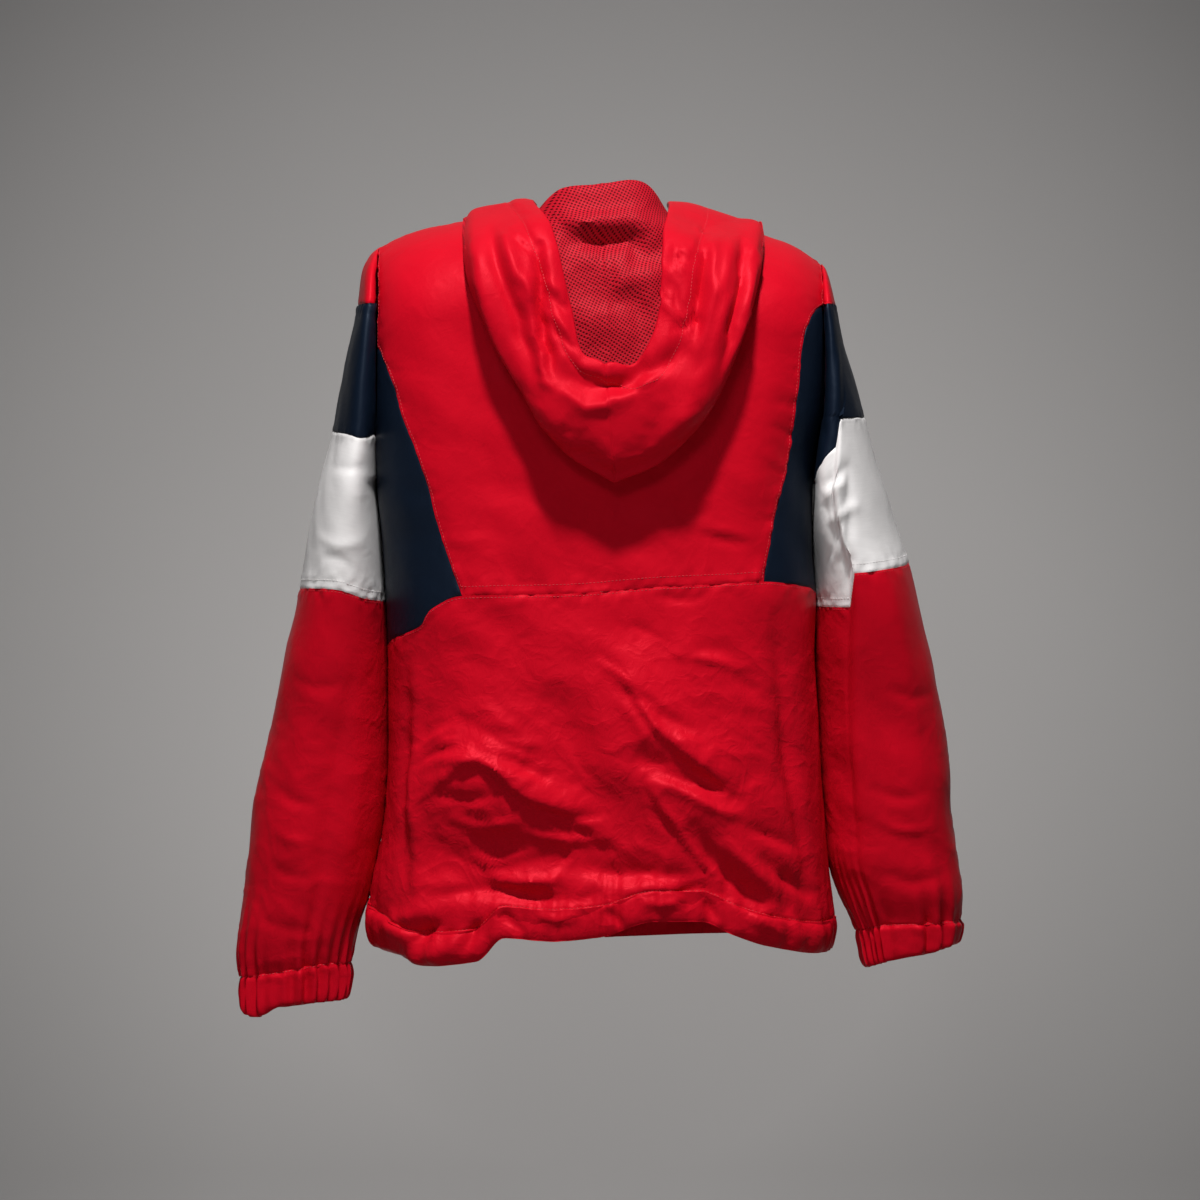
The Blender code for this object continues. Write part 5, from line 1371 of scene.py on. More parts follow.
CASING_MORE = 1.1  # degrees by which the casing's ends reach over the zip's tape
CASING_PUFF = table("direction out", [
    (-270, 0), (-200, 2), (-170, 5), (-150, 8), (-134, 6), (-118, 1), (-90, 1.5), (-70, 2), (-52, 1),
    (-38, 5), (-25, 4), (-10, 1), (60, 2), (90, 0),
])


def make_hem_casing():
    edge = front_edge_angle() + CASING_MORE
    first = 180.0 - edge - 360
    degrees = np.linspace(first, edge, int(1330 / millimetres("cell")))
    down = CASING_DOWN
    top = hem_top(degrees)
    z = top[None] - smooth(CASING, "down", down)[:, None] * soft(HEM, "tall", around(degrees, 0))[None]
    grid = ring(np.broadcast_to(degrees, z.shape), z)
    flat = unit(grid * [1, 1, 0])
    out = smooth(CASING, "out", down)[:, None]
    puff = soft(CASING_PUFF, "out", degrees)[None]
    grid = grid + flat * (out * (CASING_OUT * 0.2 + puff * 0.8 * (out > 0)))[..., None]
    normal = fresh_normals(grid, np.where((down < 3.5)[:, None, None], flat, -flat))
    outer_side = (down < 4.2)[:, None]
    seam, seam_normal = ring_grid(np.stack([degrees, top], -1)[None])
    joined = body_relief(seam, seam_normal) * (1 - step(down, 0.0, 2.6))[:, None]
    creases = crease_height(grid, np.broadcast_to(seam_normal, grid.shape), on_body(BACK, HEM_CREASES))
    small = waves(grid, 41, 18, 14, 34) * 0.12 + waves(grid, 42, 10, 34, 80) * 0.8
    gathers = pipes(degrees * HEM_ROUND, HEM_PITCH, 7)[None] * HEM_GATHER
    loose = (1.4 * creases * (grid[..., 1] < 0) + small) * step(down, 0.0, 1.8)[:, None]
    bent = joined + loose + gathers + sewn(grid, "top", (), 23) * outer_side
    from_end = np.minimum(degrees - first, edge - degrees) * ZIP_ROUND
    grid = grid + seam_normal * (bent * np.clip(from_end / ZIP_CALM, 0.05, 1)[None])[..., None]
    grid[..., 1] -= ZIP_PRESS * np.clip(1 - from_end / ZIP_NEAR, 0, 1)[None] * outer_side
    grid = tucked(grid, seam_normal)
    normal = np.concatenate([normal[:1], normal])
    finish_sheet("hem_casing", grid, normal, np.zeros(grid.shape[:2]), sides="top left right",
                 held="gathered", fullness=1.12)


# --- the sleeves ---

SLEEVE_ROUND = 480
CUFF_PITCH = 11.0
CUFF_GATHER = 2.3
CUFF_REACH = 34.0
SLEEVE_SHARE = 0.6  # of the laid creases' height
INNER_PLACE = 0.72  # places beyond this face the body


def sleeve_normals(side, place, z, grid):
    normal = differences(lambda a, b: sleeve(side, a, b), place, z, 0.004, 0.5)
    return outward(grid, normal, grid.mean(axis=1, keepdims=True))


def sleeve_relief(side, grid, normal, place, seed):
    """How far a sleeve's cloth stands off its form."""
    height = np.zeros(grid.shape[:-1])
    for face in (BACK, FRONT):
        on_face = place * face > -0.05
        creases = on_sleeve(side, face, SLEEVE_CREASES[side, face])
        share = 0.8 - (0.8 - SLEEVE_SHARE) * step(-grid[..., 2], 350, 420)
        height += share * crease_height(grid, normal, creases) * on_face
    low = step(-grid[..., 2], 330, 560)
    rough = crumpled(grid, seed, 0.3 + 0.45 * low) * (0.5 + 0.3 * low)
    calm = 1 - 0.85 * step(np.abs(place), INNER_PLACE - 0.12, INNER_PLACE + 0.08)
    return (height + rough) * calm


def cuff_gathers(side, place):
    return CUFF_GATHER * pipes(place * 140, CUFF_PITCH, 61 + side)


def sleeve_piece(side, node, upper, lower, tall, cloth, seed):
    places = -1 + 2 * cells_along(16, SLEEVE_ROUND) / 16
    rows = cells_along(4, tall) / 4
    read = soft if side == LEFT else straight
    top = read(SLEEVE_SEAMS[side], upper, places)[None]
    z = top + (read(SLEEVE_SEAMS[side], lower, places)[None] - top) * rows[:, None]
    place = np.broadcast_to(places, z.shape)
    grid = sleeve(side, place, z)
    normal = sleeve_normals(side, place, z, grid)
    stitched = [("bottom", BAND_STITCH)] if cloth == "white" else [("top", SLEEVE_STITCH)]
    height = sleeve_relief(side, grid, normal, place, 50 + side)
    height = height + sewn(grid, "top bottom left right", stitched, seed)
    if lower == "cuff":
        far = edge_lengths(grid)["bottom"]
        height = height + cuff_gathers(side, place) * np.exp(-(far / CUFF_REACH) ** 1.4)
    finish_sheet(node, grid, normal, height, cloth)


def make_sleeve_cap(side):
    middle, half = armhole_level(side)
    stations = np.interp(cells_along(CAP_END, 62), np.arange(len(STATIONS[side])), STATIONS[side])
    levels = middle + half * np.cos(np.radians(stations))
    levels[-1] = straight(SLEEVE_SEAMS[side], "cap", 0.0)
    place, z = np.meshgrid(-1 + 2 * cells_along(16, 200) / 16, levels)
    grid = sleeve(side, place, z)
    normal = sleeve_normals(side, place, z, grid)
    normal[0] = unit(normal[3].mean(axis=0))
    height = crumpled(grid, 50 + side, 0.3) * 0.5 + sewn(grid, "bottom left right", (), 31)
    finish_sheet("sleeve_cap_" + WORDS[side], grid, normal, height, sides="bottom left right")


def make_cuff(side):
    places = np.linspace(-1, 1, 181)[:-1]
    seams = SLEEVE_SEAMS[side]
    down = CASING_DOWN
    top = soft(seams, "cuff", places)
    tall = top - soft(seams, "end", places)
    z = top[None] - smooth(CASING, "down", down)[:, None] * tall[None]
    place = np.broadcast_to(places, z.shape)
    grid = sleeve(side, place, z)
    flat = unit((grid - grid.mean(axis=(0, 1))) * [1, 1, 0])
    grid = grid + flat * (smooth(CASING, "out", down)[:, None] * CASING_OUT)[..., None]
    outer_side = (down < 4.0)[:, None]
    normal = np.where(outer_side[..., None], flat, -flat)
    lift = np.interp(down, [0, 1.5, 3.2, 4.2, 5.5, 7], [0.8, 1.15, 1, 0.7, 0.6, 0.4])[:, None]
    gathers = cuff_gathers(side, place) * lift
    small = waves(grid, 71 + side, 14, 9, 22) * 0.15
    stitch = sewn(grid, "top", [("top", CASING_STITCH)], 73) * outer_side
    moved = tucked(grid + flat * (gathers + (small + stitch) * outer_side)[..., None], flat)
    normal = np.concatenate([normal[:1], normal])
    closed = np.concatenate([moved, moved[:, :1]], axis=1)
    fresh = fresh_normals(closed, np.concatenate([normal, normal[:, :1]], axis=1))[:, :-1]
    lay_cloth("cuff_" + WORDS[side], moved, fresh, closed, nylon("red"), "red_nylon",
              closed=True, held="gathered", fullness=1.3)


def make_sleeve(side):
    make_sleeve_cap(side)
    parts = [("upper", "cap", "upper", 125, "navy"), ("band", "upper", "band", 145, "white"),
             ("lower", "band", "cuff", 340, "red")]
    for number, (part, upper, lower, tall, cloth) in enumerate(parts):
        sleeve_piece(side, f"sleeve_{part}_{WORDS[side]}", upper, lower, tall, cloth, 80 + number)
    make_cuff(side)


# --- the hood ---

TUNNEL = table("row wide", [(-9, 22), (-3, 22), (0, 18), (1, 24), (3, 33), (9, 26)])
TUNNEL_TURN = 2.3  # radius of the fold at the rim
TUNNEL_PUFF = 2.6
LINING_DEEP = 3.6  # from the shell's outer face to the lining
LINING_WALL = 0.5
TOP_FROM = 2.0  # the cloth lies smooth over the neck between these heights
TOP_FULL = 28.0
TOP_DROP = table("x down", [  # how far the hood's top sinks onto the neck and shoulders
    (-152, 0), (-142, 3), (-128, 10), (-115, 15), (-95, 18), (-75, 19), (-50, 17), (0, 18), (25, 17),
    (45, 18), (60, 20), (75, 24), (90, 26), (105, 25), (125, 22), (140, 14), (150, 4), (160, 0),
])
DROP_FROM = -42.0
DROP_FULL = 30.0
PRESS_MOST = 0.7  # of the height above the shoulders
RIM_MIDDLE = 5.0  # the rim's low part is rounded out on both sides of its middle
RIM_CORNER = 26.0
RIM_WIDE = 15.0
RIM_DROP = 15.0
FOLD_KEY = 4.0
POUCH_LEAN = 8.0


def hood_at(row, key):
    """The shell's outer face at a signed row, left rows below 0."""
    sides = [hood(side, np.abs(row), key) for side in (LEFT, RIGHT)]
    return np.where((row < 0)[..., None], sides[0], sides[1])


HOOD_KEYS_TALL = [0, 0.6, 1.0, 1.6, 2.4, 3.2, 3.6, 4.0, 4.4, 5.0, 5.7, 6.4]


def hood_rows():
    """Rows across the hood, -9 at the left front end, 0 at the middle of the back."""
    half = cells_along(9, 470)
    return np.concatenate([-half[::-1], half[1:]])


def hood_form():
    """Grid of the whole hood, from the left front end to the right, with rows, keys and normals."""
    rows = hood_rows()
    steps = np.concatenate([[0, 0.15, 0.4], np.arange(1, 110), [109.5, 109.8, 110]]) / 110
    count = len(HOOD_KEYS_TALL)
    keys = np.interp(steps * (count - 1), np.arange(count), HOOD_KEYS_TALL)
    row, key = np.meshgrid(rows, keys)
    grid = hood_at(row, key)
    across = np.abs(grid[..., 0] - RIM_MIDDLE)
    rounded = RIM_DROP * np.exp(-((across - RIM_CORNER) / RIM_WIDE) ** 2)
    grid[..., 2] -= rounded * step(key, 4.7, 6.4) * (grid[..., 1] < -100)
    normal = unit(np.cross(np.gradient(grid, axis=1), np.gradient(grid, axis=0)))
    middle = grid.shape[1] // 2
    if normal[3, middle, 1] > 0:
        normal = -normal
    return row, key, grid, normal


def hood_relief(key, grid, normal):
    """Height of the shell off its form: listed creases of the pouch and of the opening."""
    outer = key >= FOLD_KEY
    spread = grid[::2, ::2]
    outer_spots = spread[key[::2, ::2] >= FOLD_KEY + 0.2]
    inner_spots = spread[(key[::2, ::2] > 0.8) & (key[::2, ::2] < 3.5)]
    pouch = crease_height(grid, normal, on_grid(outer_spots, POUCH_CREASES))
    inside = crease_height(grid, normal, on_grid(inner_spots, LINING_CREASES))
    pouch = pouch * step(key, FOLD_KEY - 0.1, FOLD_KEY + 0.25)
    inside = inside * step(key, 0.6, 1.1) * (1 - step(key, 3.3, 3.7))
    rough = crumpled(grid, 90, 0.35) * np.where(outer, 0.35, 0.3)
    near_neck = step(key, 0, 0.8) * (1 - 0.85 * step(grid[..., 2], TOP_FROM, TOP_FULL) * (key < 3.8))
    lean = POUCH_LEAN * (step(grid[..., 2], -240, -170) - 0.6) * step(-grid[..., 2], 90, 160)
    pouch = pouch + lean * step(key, FOLD_KEY, FOLD_KEY + 0.3)
    return (pouch - inside + rough * step(np.abs(key - FOLD_KEY), 0, 0.5)) * near_neck


def tunnel_rows(grid, normal, wide):
    """Rows that carry the shell round the rim and back inside it, as a tunnel."""
    rim = grid[-1]
    up = normal[-1]
    ahead = grid[-1] - grid[-3]
    ahead = unit(ahead - (ahead * up).sum(-1, keepdims=True) * up)
    rows = []
    for turn in np.radians([36, 72, 108, 144, 180]):
        rows.append(rim - up * TUNNEL_TURN + TUNNEL_TURN * (up * math.cos(turn) + ahead * math.sin(turn)))
    back = edge_lengths(grid)["bottom"][::-1]
    for share in np.linspace(0.13, 1, 8):
        deep = 2 * TUNNEL_TURN + TUNNEL_PUFF * 0.7 * math.sin(math.pi * share)
        line = []
        for j, reach in enumerate(share * wide):
            spot = along_line(reach, back[:, j], grid[::-1, j])
            line.append(spot - along_line(reach, back[:, j], normal[::-1, j]) * deep)
        rows.append(line)
    return np.array(rows)


def lowered(points):
    """Hood points with the top sunk onto the neck and shoulders."""
    points = points.copy()
    x, y, z = (points[..., k] for k in range(3))
    reach = np.clip(np.abs(y) / depth_at(y, -40.0), 0, 1)
    shoulder = smooth(RIDGE, "z", x) - SHOULDER_DROP * (1 - np.sqrt(1 - reach ** 2))
    sink = smooth(TOP_DROP, "down", x) * step(z, DROP_FROM, DROP_FULL)
    points[..., 2] = z - np.minimum(sink, PRESS_MOST * np.clip(z - shoulder, 0, None))
    return points


def halves(columns):
    """The column ranges of the hood's left and right halves, which meet at the crown seam."""
    middle = columns // 2
    return {LEFT: slice(0, middle + 1), RIGHT: slice(middle, columns)}


def make_hood():
    row, key, grid, normal = hood_form()
    far = edge_lengths(grid)
    crown = np.cumsum(np.linalg.norm(np.diff(grid, axis=1), axis=-1), axis=1)
    crown = np.concatenate([np.zeros((len(grid), 1)), crown], axis=1)
    crown = np.abs(crown - crown[:, crown.shape[1] // 2][:, None])
    height = hood_relief(key, grid, normal)
    lining_height = height.copy()
    ripple = waves(grid, 97, 16, 6, 16)
    height -= SEAM_DIP * np.exp(-(crown / SEAM_WIDE) ** 2)
    height += PUCKER * 0.7 * ripple * np.exp(-(crown / PUCKER_REACH) ** 2)
    rim = far["bottom"]
    wide = smooth(TUNNEL, "wide", row[0])
    height += TUNNEL_PUFF * np.sin(np.pi * np.clip(rim / wide, 0, 1))
    height -= 0.8 * np.exp(-((rim - wide) / 1.5) ** 2)
    height += 0.3 * waves(grid, 98, 16, 9, 20) * np.exp(-((rim - wide * 0.75) / 12) ** 2)
    height += sewn(grid, "top", (), 99) * (far["top"] < 30)
    height *= step(9 - np.abs(row), 0.05, 0.7)
    shell = lowered(grid + normal * height[..., None])
    fresh = fresh_normals(shell, normal)
    inner = tunnel_rows(shell, fresh, wide)
    whole = np.concatenate([shell, inner])
    form = np.concatenate([grid, inner])
    whole_normal = fresh_normals(whole, np.concatenate([normal, -np.broadcast_to(normal[-1], inner.shape)]))
    CLOTH_SHEETS["hood_shell"] = (shell, fresh)
    for side, columns in halves(whole.shape[1]).items():
        part = pulled_in(whole[:, columns], "top left right")
        lay_cloth("hood_" + WORDS[side], part, whole_normal[:, columns], form[:, columns],
                  nylon("red"), "red_nylon")
    make_lining(row, key, grid, normal, lining_height)


def make_lining(row, key, grid, normal, height):
    rim = edge_lengths(grid)["bottom"]
    loose = waves(grid, 120, 14, 24, 60) * 0.6 + sharp_creases(grid, 121, 26, 60, -20, 1.6) * 0.5
    deep = LINING_DEEP + np.clip(loose + 0.8, 0, 3) * step(rim, 20, 40) * step(key, 0.4, 1.0)
    crown = np.abs(row) * 45
    deep = deep + 0.9 * np.exp(-(crown / 3.0) ** 2) * step(key, 0.9, 1.3)
    deep = deep * (1 - 0.6 * step(grid[..., 2], TOP_FROM, TOP_FULL))
    lining = lowered(grid + normal * (height - deep)[..., None])
    fresh = fresh_normals(lining, normal)
    tall = slice(2, len(lining) - 4)
    for side, columns in halves(lining.shape[1]).items():
        part = pulled_in(lining[tall, columns], "left right")
        lay_cloth("hood_lining_" + WORDS[side], part, fresh[tall, columns], grid[tall, columns],
                  mesh_cloth(), "red_mesh", LINING_WALL)


# --- materials ---

def node_group(name, inputs, outputs):
    """A new shader group with named sockets, with its input and output nodes."""
    group = bpy.data.node_groups.new(name, "ShaderNodeTree")
    for label, kind, default in inputs:
        socket = group.interface.new_socket(name=label, in_out="INPUT", socket_type=kind)
        if default is not None:
            socket.default_value = default
    for label, kind in outputs:
        group.interface.new_socket(name=label, in_out="OUTPUT", socket_type=kind)
    return group, group.nodes.new("NodeGroupInput"), group.nodes.new("NodeGroupOutput")


def feed(tree, node, inputs):
    """Inputs of a node by name or number, set to constants or linked to sockets."""
    for key, value in inputs.items():
        if isinstance(value, bpy.types.NodeSocket):
            tree.links.new(value, node.inputs[key])
        else:
            node.inputs[key].default_value = value


def add_node(tree, kind, inputs, **settings):
    """A shader node with its settings made and its inputs fed."""
    node = tree.nodes.new("ShaderNode" + kind)
    for name, value in settings.items():
        setattr(node, name, value)
    feed(tree, node, inputs)
    return node


def math_node(tree, operation, *values):
    """A math node fed with sockets or numbers; gives its output."""
    return add_node(tree, "Math", dict(enumerate(values)), operation=operation).outputs[0]


def fitted(tree, value, low, high, to_low, to_high, kind="SMOOTHSTEP"):
    """A value brought from one range to another; gives its output."""
    inputs = {"Value": value, "From Min": low, "From Max": high, "To Min": to_low, "To Max": to_high}
    return add_node(tree, "MapRange", inputs, interpolation_type=kind).outputs["Result"]


def split_axes(tree, vector):
    return add_node(tree, "SeparateXYZ", {0: vector}).outputs


def noise_node(tree, vector, scale, detail=2.0, roughness=0.5, distortion=0.0):
    inputs = {"Vector": vector, "Scale": scale, "Detail": detail, "Roughness": roughness,
              "Distortion": distortion}
    return add_node(tree, "TexNoise", inputs).outputs["Fac"]


def weave_group():
    """Plain weave: threads over and under each other, in the cloth's own map."""
    found = bpy.data.node_groups.get("plain weave")
    if found:
        return found
    group, start, end = node_group(
        "plain weave",
        [("Map", "NodeSocketVector", None), ("Threads", "NodeSocketFloat", 1500.0)],
        [("Height", "NodeSocketFloat"), ("Slub", "NodeSocketFloat")])
    split = split_axes(group, start.outputs["Map"])
    turns = []
    for axis in ("X", "Y"):
        angle = math_node(group, "MULTIPLY", split[axis], start.outputs["Threads"])
        turns.append(math_node(group, "SINE", math_node(group, "MULTIPLY", angle, 2 * math.pi)))
    over = math_node(group, "MULTIPLY", turns[0], turns[1])
    stretch = add_node(group, "Mapping", {"Vector": start.outputs["Map"], "Scale": (40.0, 900.0, 1.0)})
    feed(group, end, {
        "Height": math_node(group, "MULTIPLY_ADD", over, 0.5, 0.5),
        "Slub": noise_node(group, stretch.outputs[0], 1.0, 2.0)})
    return group


def crumple_group():
    """Small creases of handled nylon: two nets of soft ridges."""
    found = bpy.data.node_groups.get("fine crumple")
    if found:
        return found
    group, start, end = node_group(
        "fine crumple",
        [("Point", "NodeSocketVector", None), ("Scale", "NodeSocketFloat", 30.0)],
        [("Height", "NodeSocketFloat"), ("Tone", "NodeSocketFloat")])
    large = noise_node(group, start.outputs["Point"], start.outputs["Scale"], 2.0, 0.45, 0.6)
    finer = math_node(group, "MULTIPLY", start.outputs["Scale"], 2.7)
    small = noise_node(group, start.outputs["Point"], finer, 2.0, 0.5, 0.8)
    nets = []
    for fac in (large, small):
        away = math_node(group, "ABSOLUTE", math_node(group, "SUBTRACT", fac, 0.5))
        nets.append(math_node(group, "SUBTRACT", 1.0, math_node(group, "MULTIPLY", away, 4.0)))
    feed(group, end, {"Height": math_node(group, "MULTIPLY_ADD", nets[1], 0.35, nets[0]), "Tone": large})
    return group


def holes_group():
    """Holes of a warp-knit mesh, in slanting rows."""
    found = bpy.data.node_groups.get("mesh holes")
    if found:
        return found
    group, start, end = node_group(
        "mesh holes",
        [("Map", "NodeSocketVector", None), ("Pitch", "NodeSocketFloat", 0.0024)],
        [("Hole", "NodeSocketFloat"), ("Height", "NodeSocketFloat")])
    lean = add_node(group, "Mapping", {"Vector": start.outputs["Map"], "Rotation": (0, 0, math.radians(32))})
    split = split_axes(group, lean.outputs[0])
    turns = []
    for axis, share in (("X", 1.0), ("Y", 0.85)):
        angle = math_node(group, "DIVIDE", split[axis], start.outputs["Pitch"])
        turns.append(math_node(group, "COSINE", math_node(group, "MULTIPLY", angle, 2 * math.pi * share)))
    # Where the holes lie, which is where the mesh's material paints its shade.
    hole_shade = fitted(group, math_node(group, "ADD", turns[0], turns[1]), 0.0, 1.5, 0.0, 1.0)
    feed(group, end, {"Hole": hole_shade, "Height": math_node(group, "SUBTRACT", 1.0, hole_shade)})
    return group


def place_group(tree, group, **values):
    """A shader group placed in a material; gives its outputs."""
    return add_node(tree, "Group", values, node_tree=group).outputs


def bump_node(tree, height, distance, strength, **before):
    inputs = {"Height": height, "Distance": distance, "Strength": strength, **before}
    return add_node(tree, "Bump", inputs).outputs["Normal"]


def scaled_colour(tree, base, factor):
    """A colour times a changing factor."""
    return add_node(tree, "VectorMath", {0: base[:3], "Scale": factor}, operation="SCALE").outputs[0]


def new_material(name):
    mat = bpy.data.materials.new(name)
    mat.use_nodes = True
    return mat, mat.node_tree, mat.node_tree.nodes["Principled BSDF"]


def cloth_map(tree):
    return add_node(tree, "UVMap", {}, uv_map="cloth").outputs[0]


def object_points(tree):
    return tree.nodes.new("ShaderNodeTexCoord").outputs["Object"]


NYLON = {  # roughness, specular level, its tint, threads in a metre, crumple bump in metres
    "red": (0.43, 0.45, (1.0, 0.04, 0.08, 1), 1250.0, 0.0014),
    "navy": (0.45, 0.22, (0.6, 0.75, 1.0, 1), 1250.0, 0.0010),
    "white": (0.42, 0.40, (1.0, 1.0, 1.0, 1), 1250.0, 0.0012),
}
CREASED_FROM = -0.32  # the cloth is more creased below this height
CREASED_FULL = -0.45
CREASED_LEAST = 0.35
ARMS_FROM = 0.20  # the sleeves, this far out from the middle, are less creased
ARMS_FULL = 0.24
ARMS_CREASED = 0.4


def nylon(name):
    """Thin satin nylon with a plain weave and fine creases."""
    found = bpy.data.materials.get(name + "_nylon_cloth")
    if found:
        return found
    rough, specular, tint, threads, crease = NYLON[name]
    mat, tree, shader = new_material(name + "_nylon_cloth")
    points = object_points(tree)
    weave = place_group(tree, weave_group(), Map=cloth_map(tree), Threads=threads)
    crumple = place_group(tree, crumple_group(), Point=points, Scale=26.0)
    tone = math_node(tree, "MULTIPLY_ADD", crumple["Tone"], 0.16, 0.86)
    tone = math_node(tree, "MULTIPLY_ADD", weave["Slub"], 0.12, tone)
    tone = math_node(tree, "MULTIPLY_ADD", weave["Height"], 0.06, tone)
    split = split_axes(tree, points)
    worn = fitted(tree, split["Z"], CREASED_FROM, CREASED_FULL, CREASED_LEAST, 1.0)
    arm = fitted(tree, math_node(tree, "ABSOLUTE", split["X"]), ARMS_FROM, ARMS_FULL, 1.0, ARMS_CREASED)
    creased = math_node(tree, "MULTIPLY", crumple["Height"], math_node(tree, "MULTIPLY", worn, arm))
    folds = bump_node(tree, creased, crease, 0.6)
    feed(tree, shader, {
        "Base Color": scaled_colour(tree, colour(name), tone),
        "Roughness": math_node(tree, "MULTIPLY_ADD", weave["Slub"], 0.14, rough - 0.07),
        "Normal": bump_node(tree, weave["Height"], 0.00006, 0.55, Normal=folds),
        "Specular IOR Level": specular,
        "Specular Tint": tint})
    return mat


def mesh_cloth():
    """Red knitted mesh with holes in slanting rows; the holes get painted shade, a dark colour in place of
    the shaded shell seen through them.
    """
    found = bpy.data.materials.get("red_mesh_cloth")
    if found:
        return found
    mat, tree, shader = new_material("red_mesh_cloth")
    points = object_points(tree)
    split = split_axes(tree, points)
    flat = add_node(tree, "CombineXYZ", {
        "X": math_node(tree, "MULTIPLY_ADD", split["Y"], 0.6, split["X"]),
        "Y": math_node(tree, "MULTIPLY_ADD", split["Y"], 0.4, split["Z"])})
    holes = place_group(tree, holes_group(), Map=flat.outputs[0], Pitch=0.0028)
    crumple = place_group(tree, crumple_group(), Point=points, Scale=34.0)
    mix = tree.nodes.new("ShaderNodeMix")
    mix.data_type = "RGBA"
    # Painted shade: the holes take the dark hole colour instead of showing the shaded shell behind the mesh.
    feed(tree, mix, {"Factor": holes["Hole"], "A": colour("lining"), "B": colour("hole_shade")})
    folds = bump_node(tree, crumple["Height"], 0.0012, 0.5)
    feed(tree, shader, {
        "Base Color": mix.outputs["Result"],
        "Roughness": math_node(tree, "MULTIPLY_ADD", crumple["Tone"], 0.1, 0.52),
        "Normal": bump_node(tree, holes["Height"], 0.0005, 0.8, Normal=folds),
        "Specular IOR Level": 0.4,
        "Specular Tint": (1.0, 0.2, 0.22, 1)})
    return mat


def trim(name, colour_name, roughness, metallic, scale, distance):
    """Thread, tape, teeth or metal: a fine grain in colour, roughness and bump."""
    found = bpy.data.materials.get(name)
    if found:
        return found
    mat, tree, shader = new_material(name)
    crumple = place_group(tree, crumple_group(), Point=object_points(tree), Scale=scale)
    tone = math_node(tree, "MULTIPLY_ADD", crumple["Tone"], 0.4, 0.8)
    feed(tree, shader, {
        "Base Color": scaled_colour(tree, colour(colour_name), tone),
        "Roughness": math_node(tree, "MULTIPLY_ADD", crumple["Tone"], 0.2, roughness - 0.1),
        "Normal": bump_node(tree, crumple["Height"], distance, 0.5),
        "Metallic": metallic})
    return mat


# --- stitches and the zip ---

def deselect():
    for obj in bpy.context.selected_objects:
        obj.select_set(False)


def modelled(name, size, shape):
    """A small hard shape made with Blender's own tools; gives its points in millimetres and triangles."""
    deselect()
    shape()
    obj = bpy.context.active_object
    obj.name = name
    bpy.ops.transform.resize(value=[s * MM for s in size])
    bpy.ops.object.transform_apply(location=True, rotation=True, scale=True)
    bpy.ops.object.mode_set(mode="EDIT")
    bpy.ops.mesh.select_all(action="SELECT")
    bpy.ops.mesh.quads_convert_to_tris()
    bpy.ops.object.mode_set(mode="OBJECT")
    points = np.array([v.co for v in obj.data.vertices], float) / MM
    faces = np.array([list(p.vertices) for p in obj.data.polygons])
    bpy.data.objects.remove(obj, do_unlink=True)
    return points, faces


def stitch_shape():
    bpy.ops.mesh.primitive_uv_sphere_add(segments=5, ring_count=3, radius=1.0, rotation=(0, math.pi / 2, 0))


def tooth_shape():
    bpy.ops.mesh.primitive_cube_add(size=2.0)
    bpy.ops.object.mode_set(mode="EDIT")
    bpy.ops.mesh.select_all(action="SELECT")
    bpy.ops.mesh.bevel(offset=0.4, segments=1, affect="EDGES")
    bpy.ops.object.mode_set(mode="OBJECT")


def copies(points, faces, centres, along, out):
    """Copies of a shape at centres, its X along one direction and its Z along another."""
    side = unit(np.cross(out, along))
    up = np.cross(along, side)
    placed = (points[None, :, :1] * along[:, None] + points[None, :, 1:2] * side[:, None]
              + points[None, :, 2:] * up[:, None] + centres[:, None])
    numbers = faces[None] + (np.arange(len(centres)) * len(points))[:, None, None]
    return placed.reshape(-1, 3), numbers.reshape(-1, faces.shape[1])


def line_inside(name, side, inside):
    """The line on finished cloth that runs at a distance inside one of its edges."""
    grid, normal = CLOTH_SHEETS[name]
    far = edge_lengths(grid)[side]
    if side in ("left", "right"):
        grid = grid.transpose(1, 0, 2)
        normal = normal.transpose(1, 0, 2)
        far = far.T
    order = slice(None) if far[0, 0] < far[-1, 0] else slice(None, None, -1)
    inside = np.broadcast_to(inside, grid.shape[1])
    line = [along_line(inside[j], far[order, j], grid[order, j]) for j in range(len(inside))]
    normals = [along_line(inside[j], far[order, j], normal[order, j]) for j in range(len(inside))]
    return np.array(line), np.array(normals)


def along_line(at, length, values):
    """Points or normals of a line at lengths along it."""
    return np.stack([np.interp(at, length, values[:, axis]) for axis in range(3)], -1)


def stitches_on(lines):
    """Copies of one stitch along lines, each given by its points and normals."""
    thread = millimetres("thread")
    points, faces = modelled("stitch", (millimetres("stitch_long") / 2, thread, thread), stitch_shape)
    pitch = millimetres("stitch_pitch")
    made = []
    total = 0
    for line, normals in lines:
        length = np.concatenate([[0], np.cumsum(np.linalg.norm(np.diff(line, axis=0), axis=1))])
        at = np.arange(pitch, length[-1] - pitch, pitch)
        centre = along_line(at, length, line)
        out = along_line(at, length, normals)
        ahead = unit(along_line(at + 0.8, length, line) - centre)
        placed, numbers = copies(points, faces, centre + out * 0.08, ahead, out)
        made.append((placed, numbers + total))
        total += len(placed)
    return np.concatenate([m[0] for m in made]), np.concatenate([m[1] for m in made])


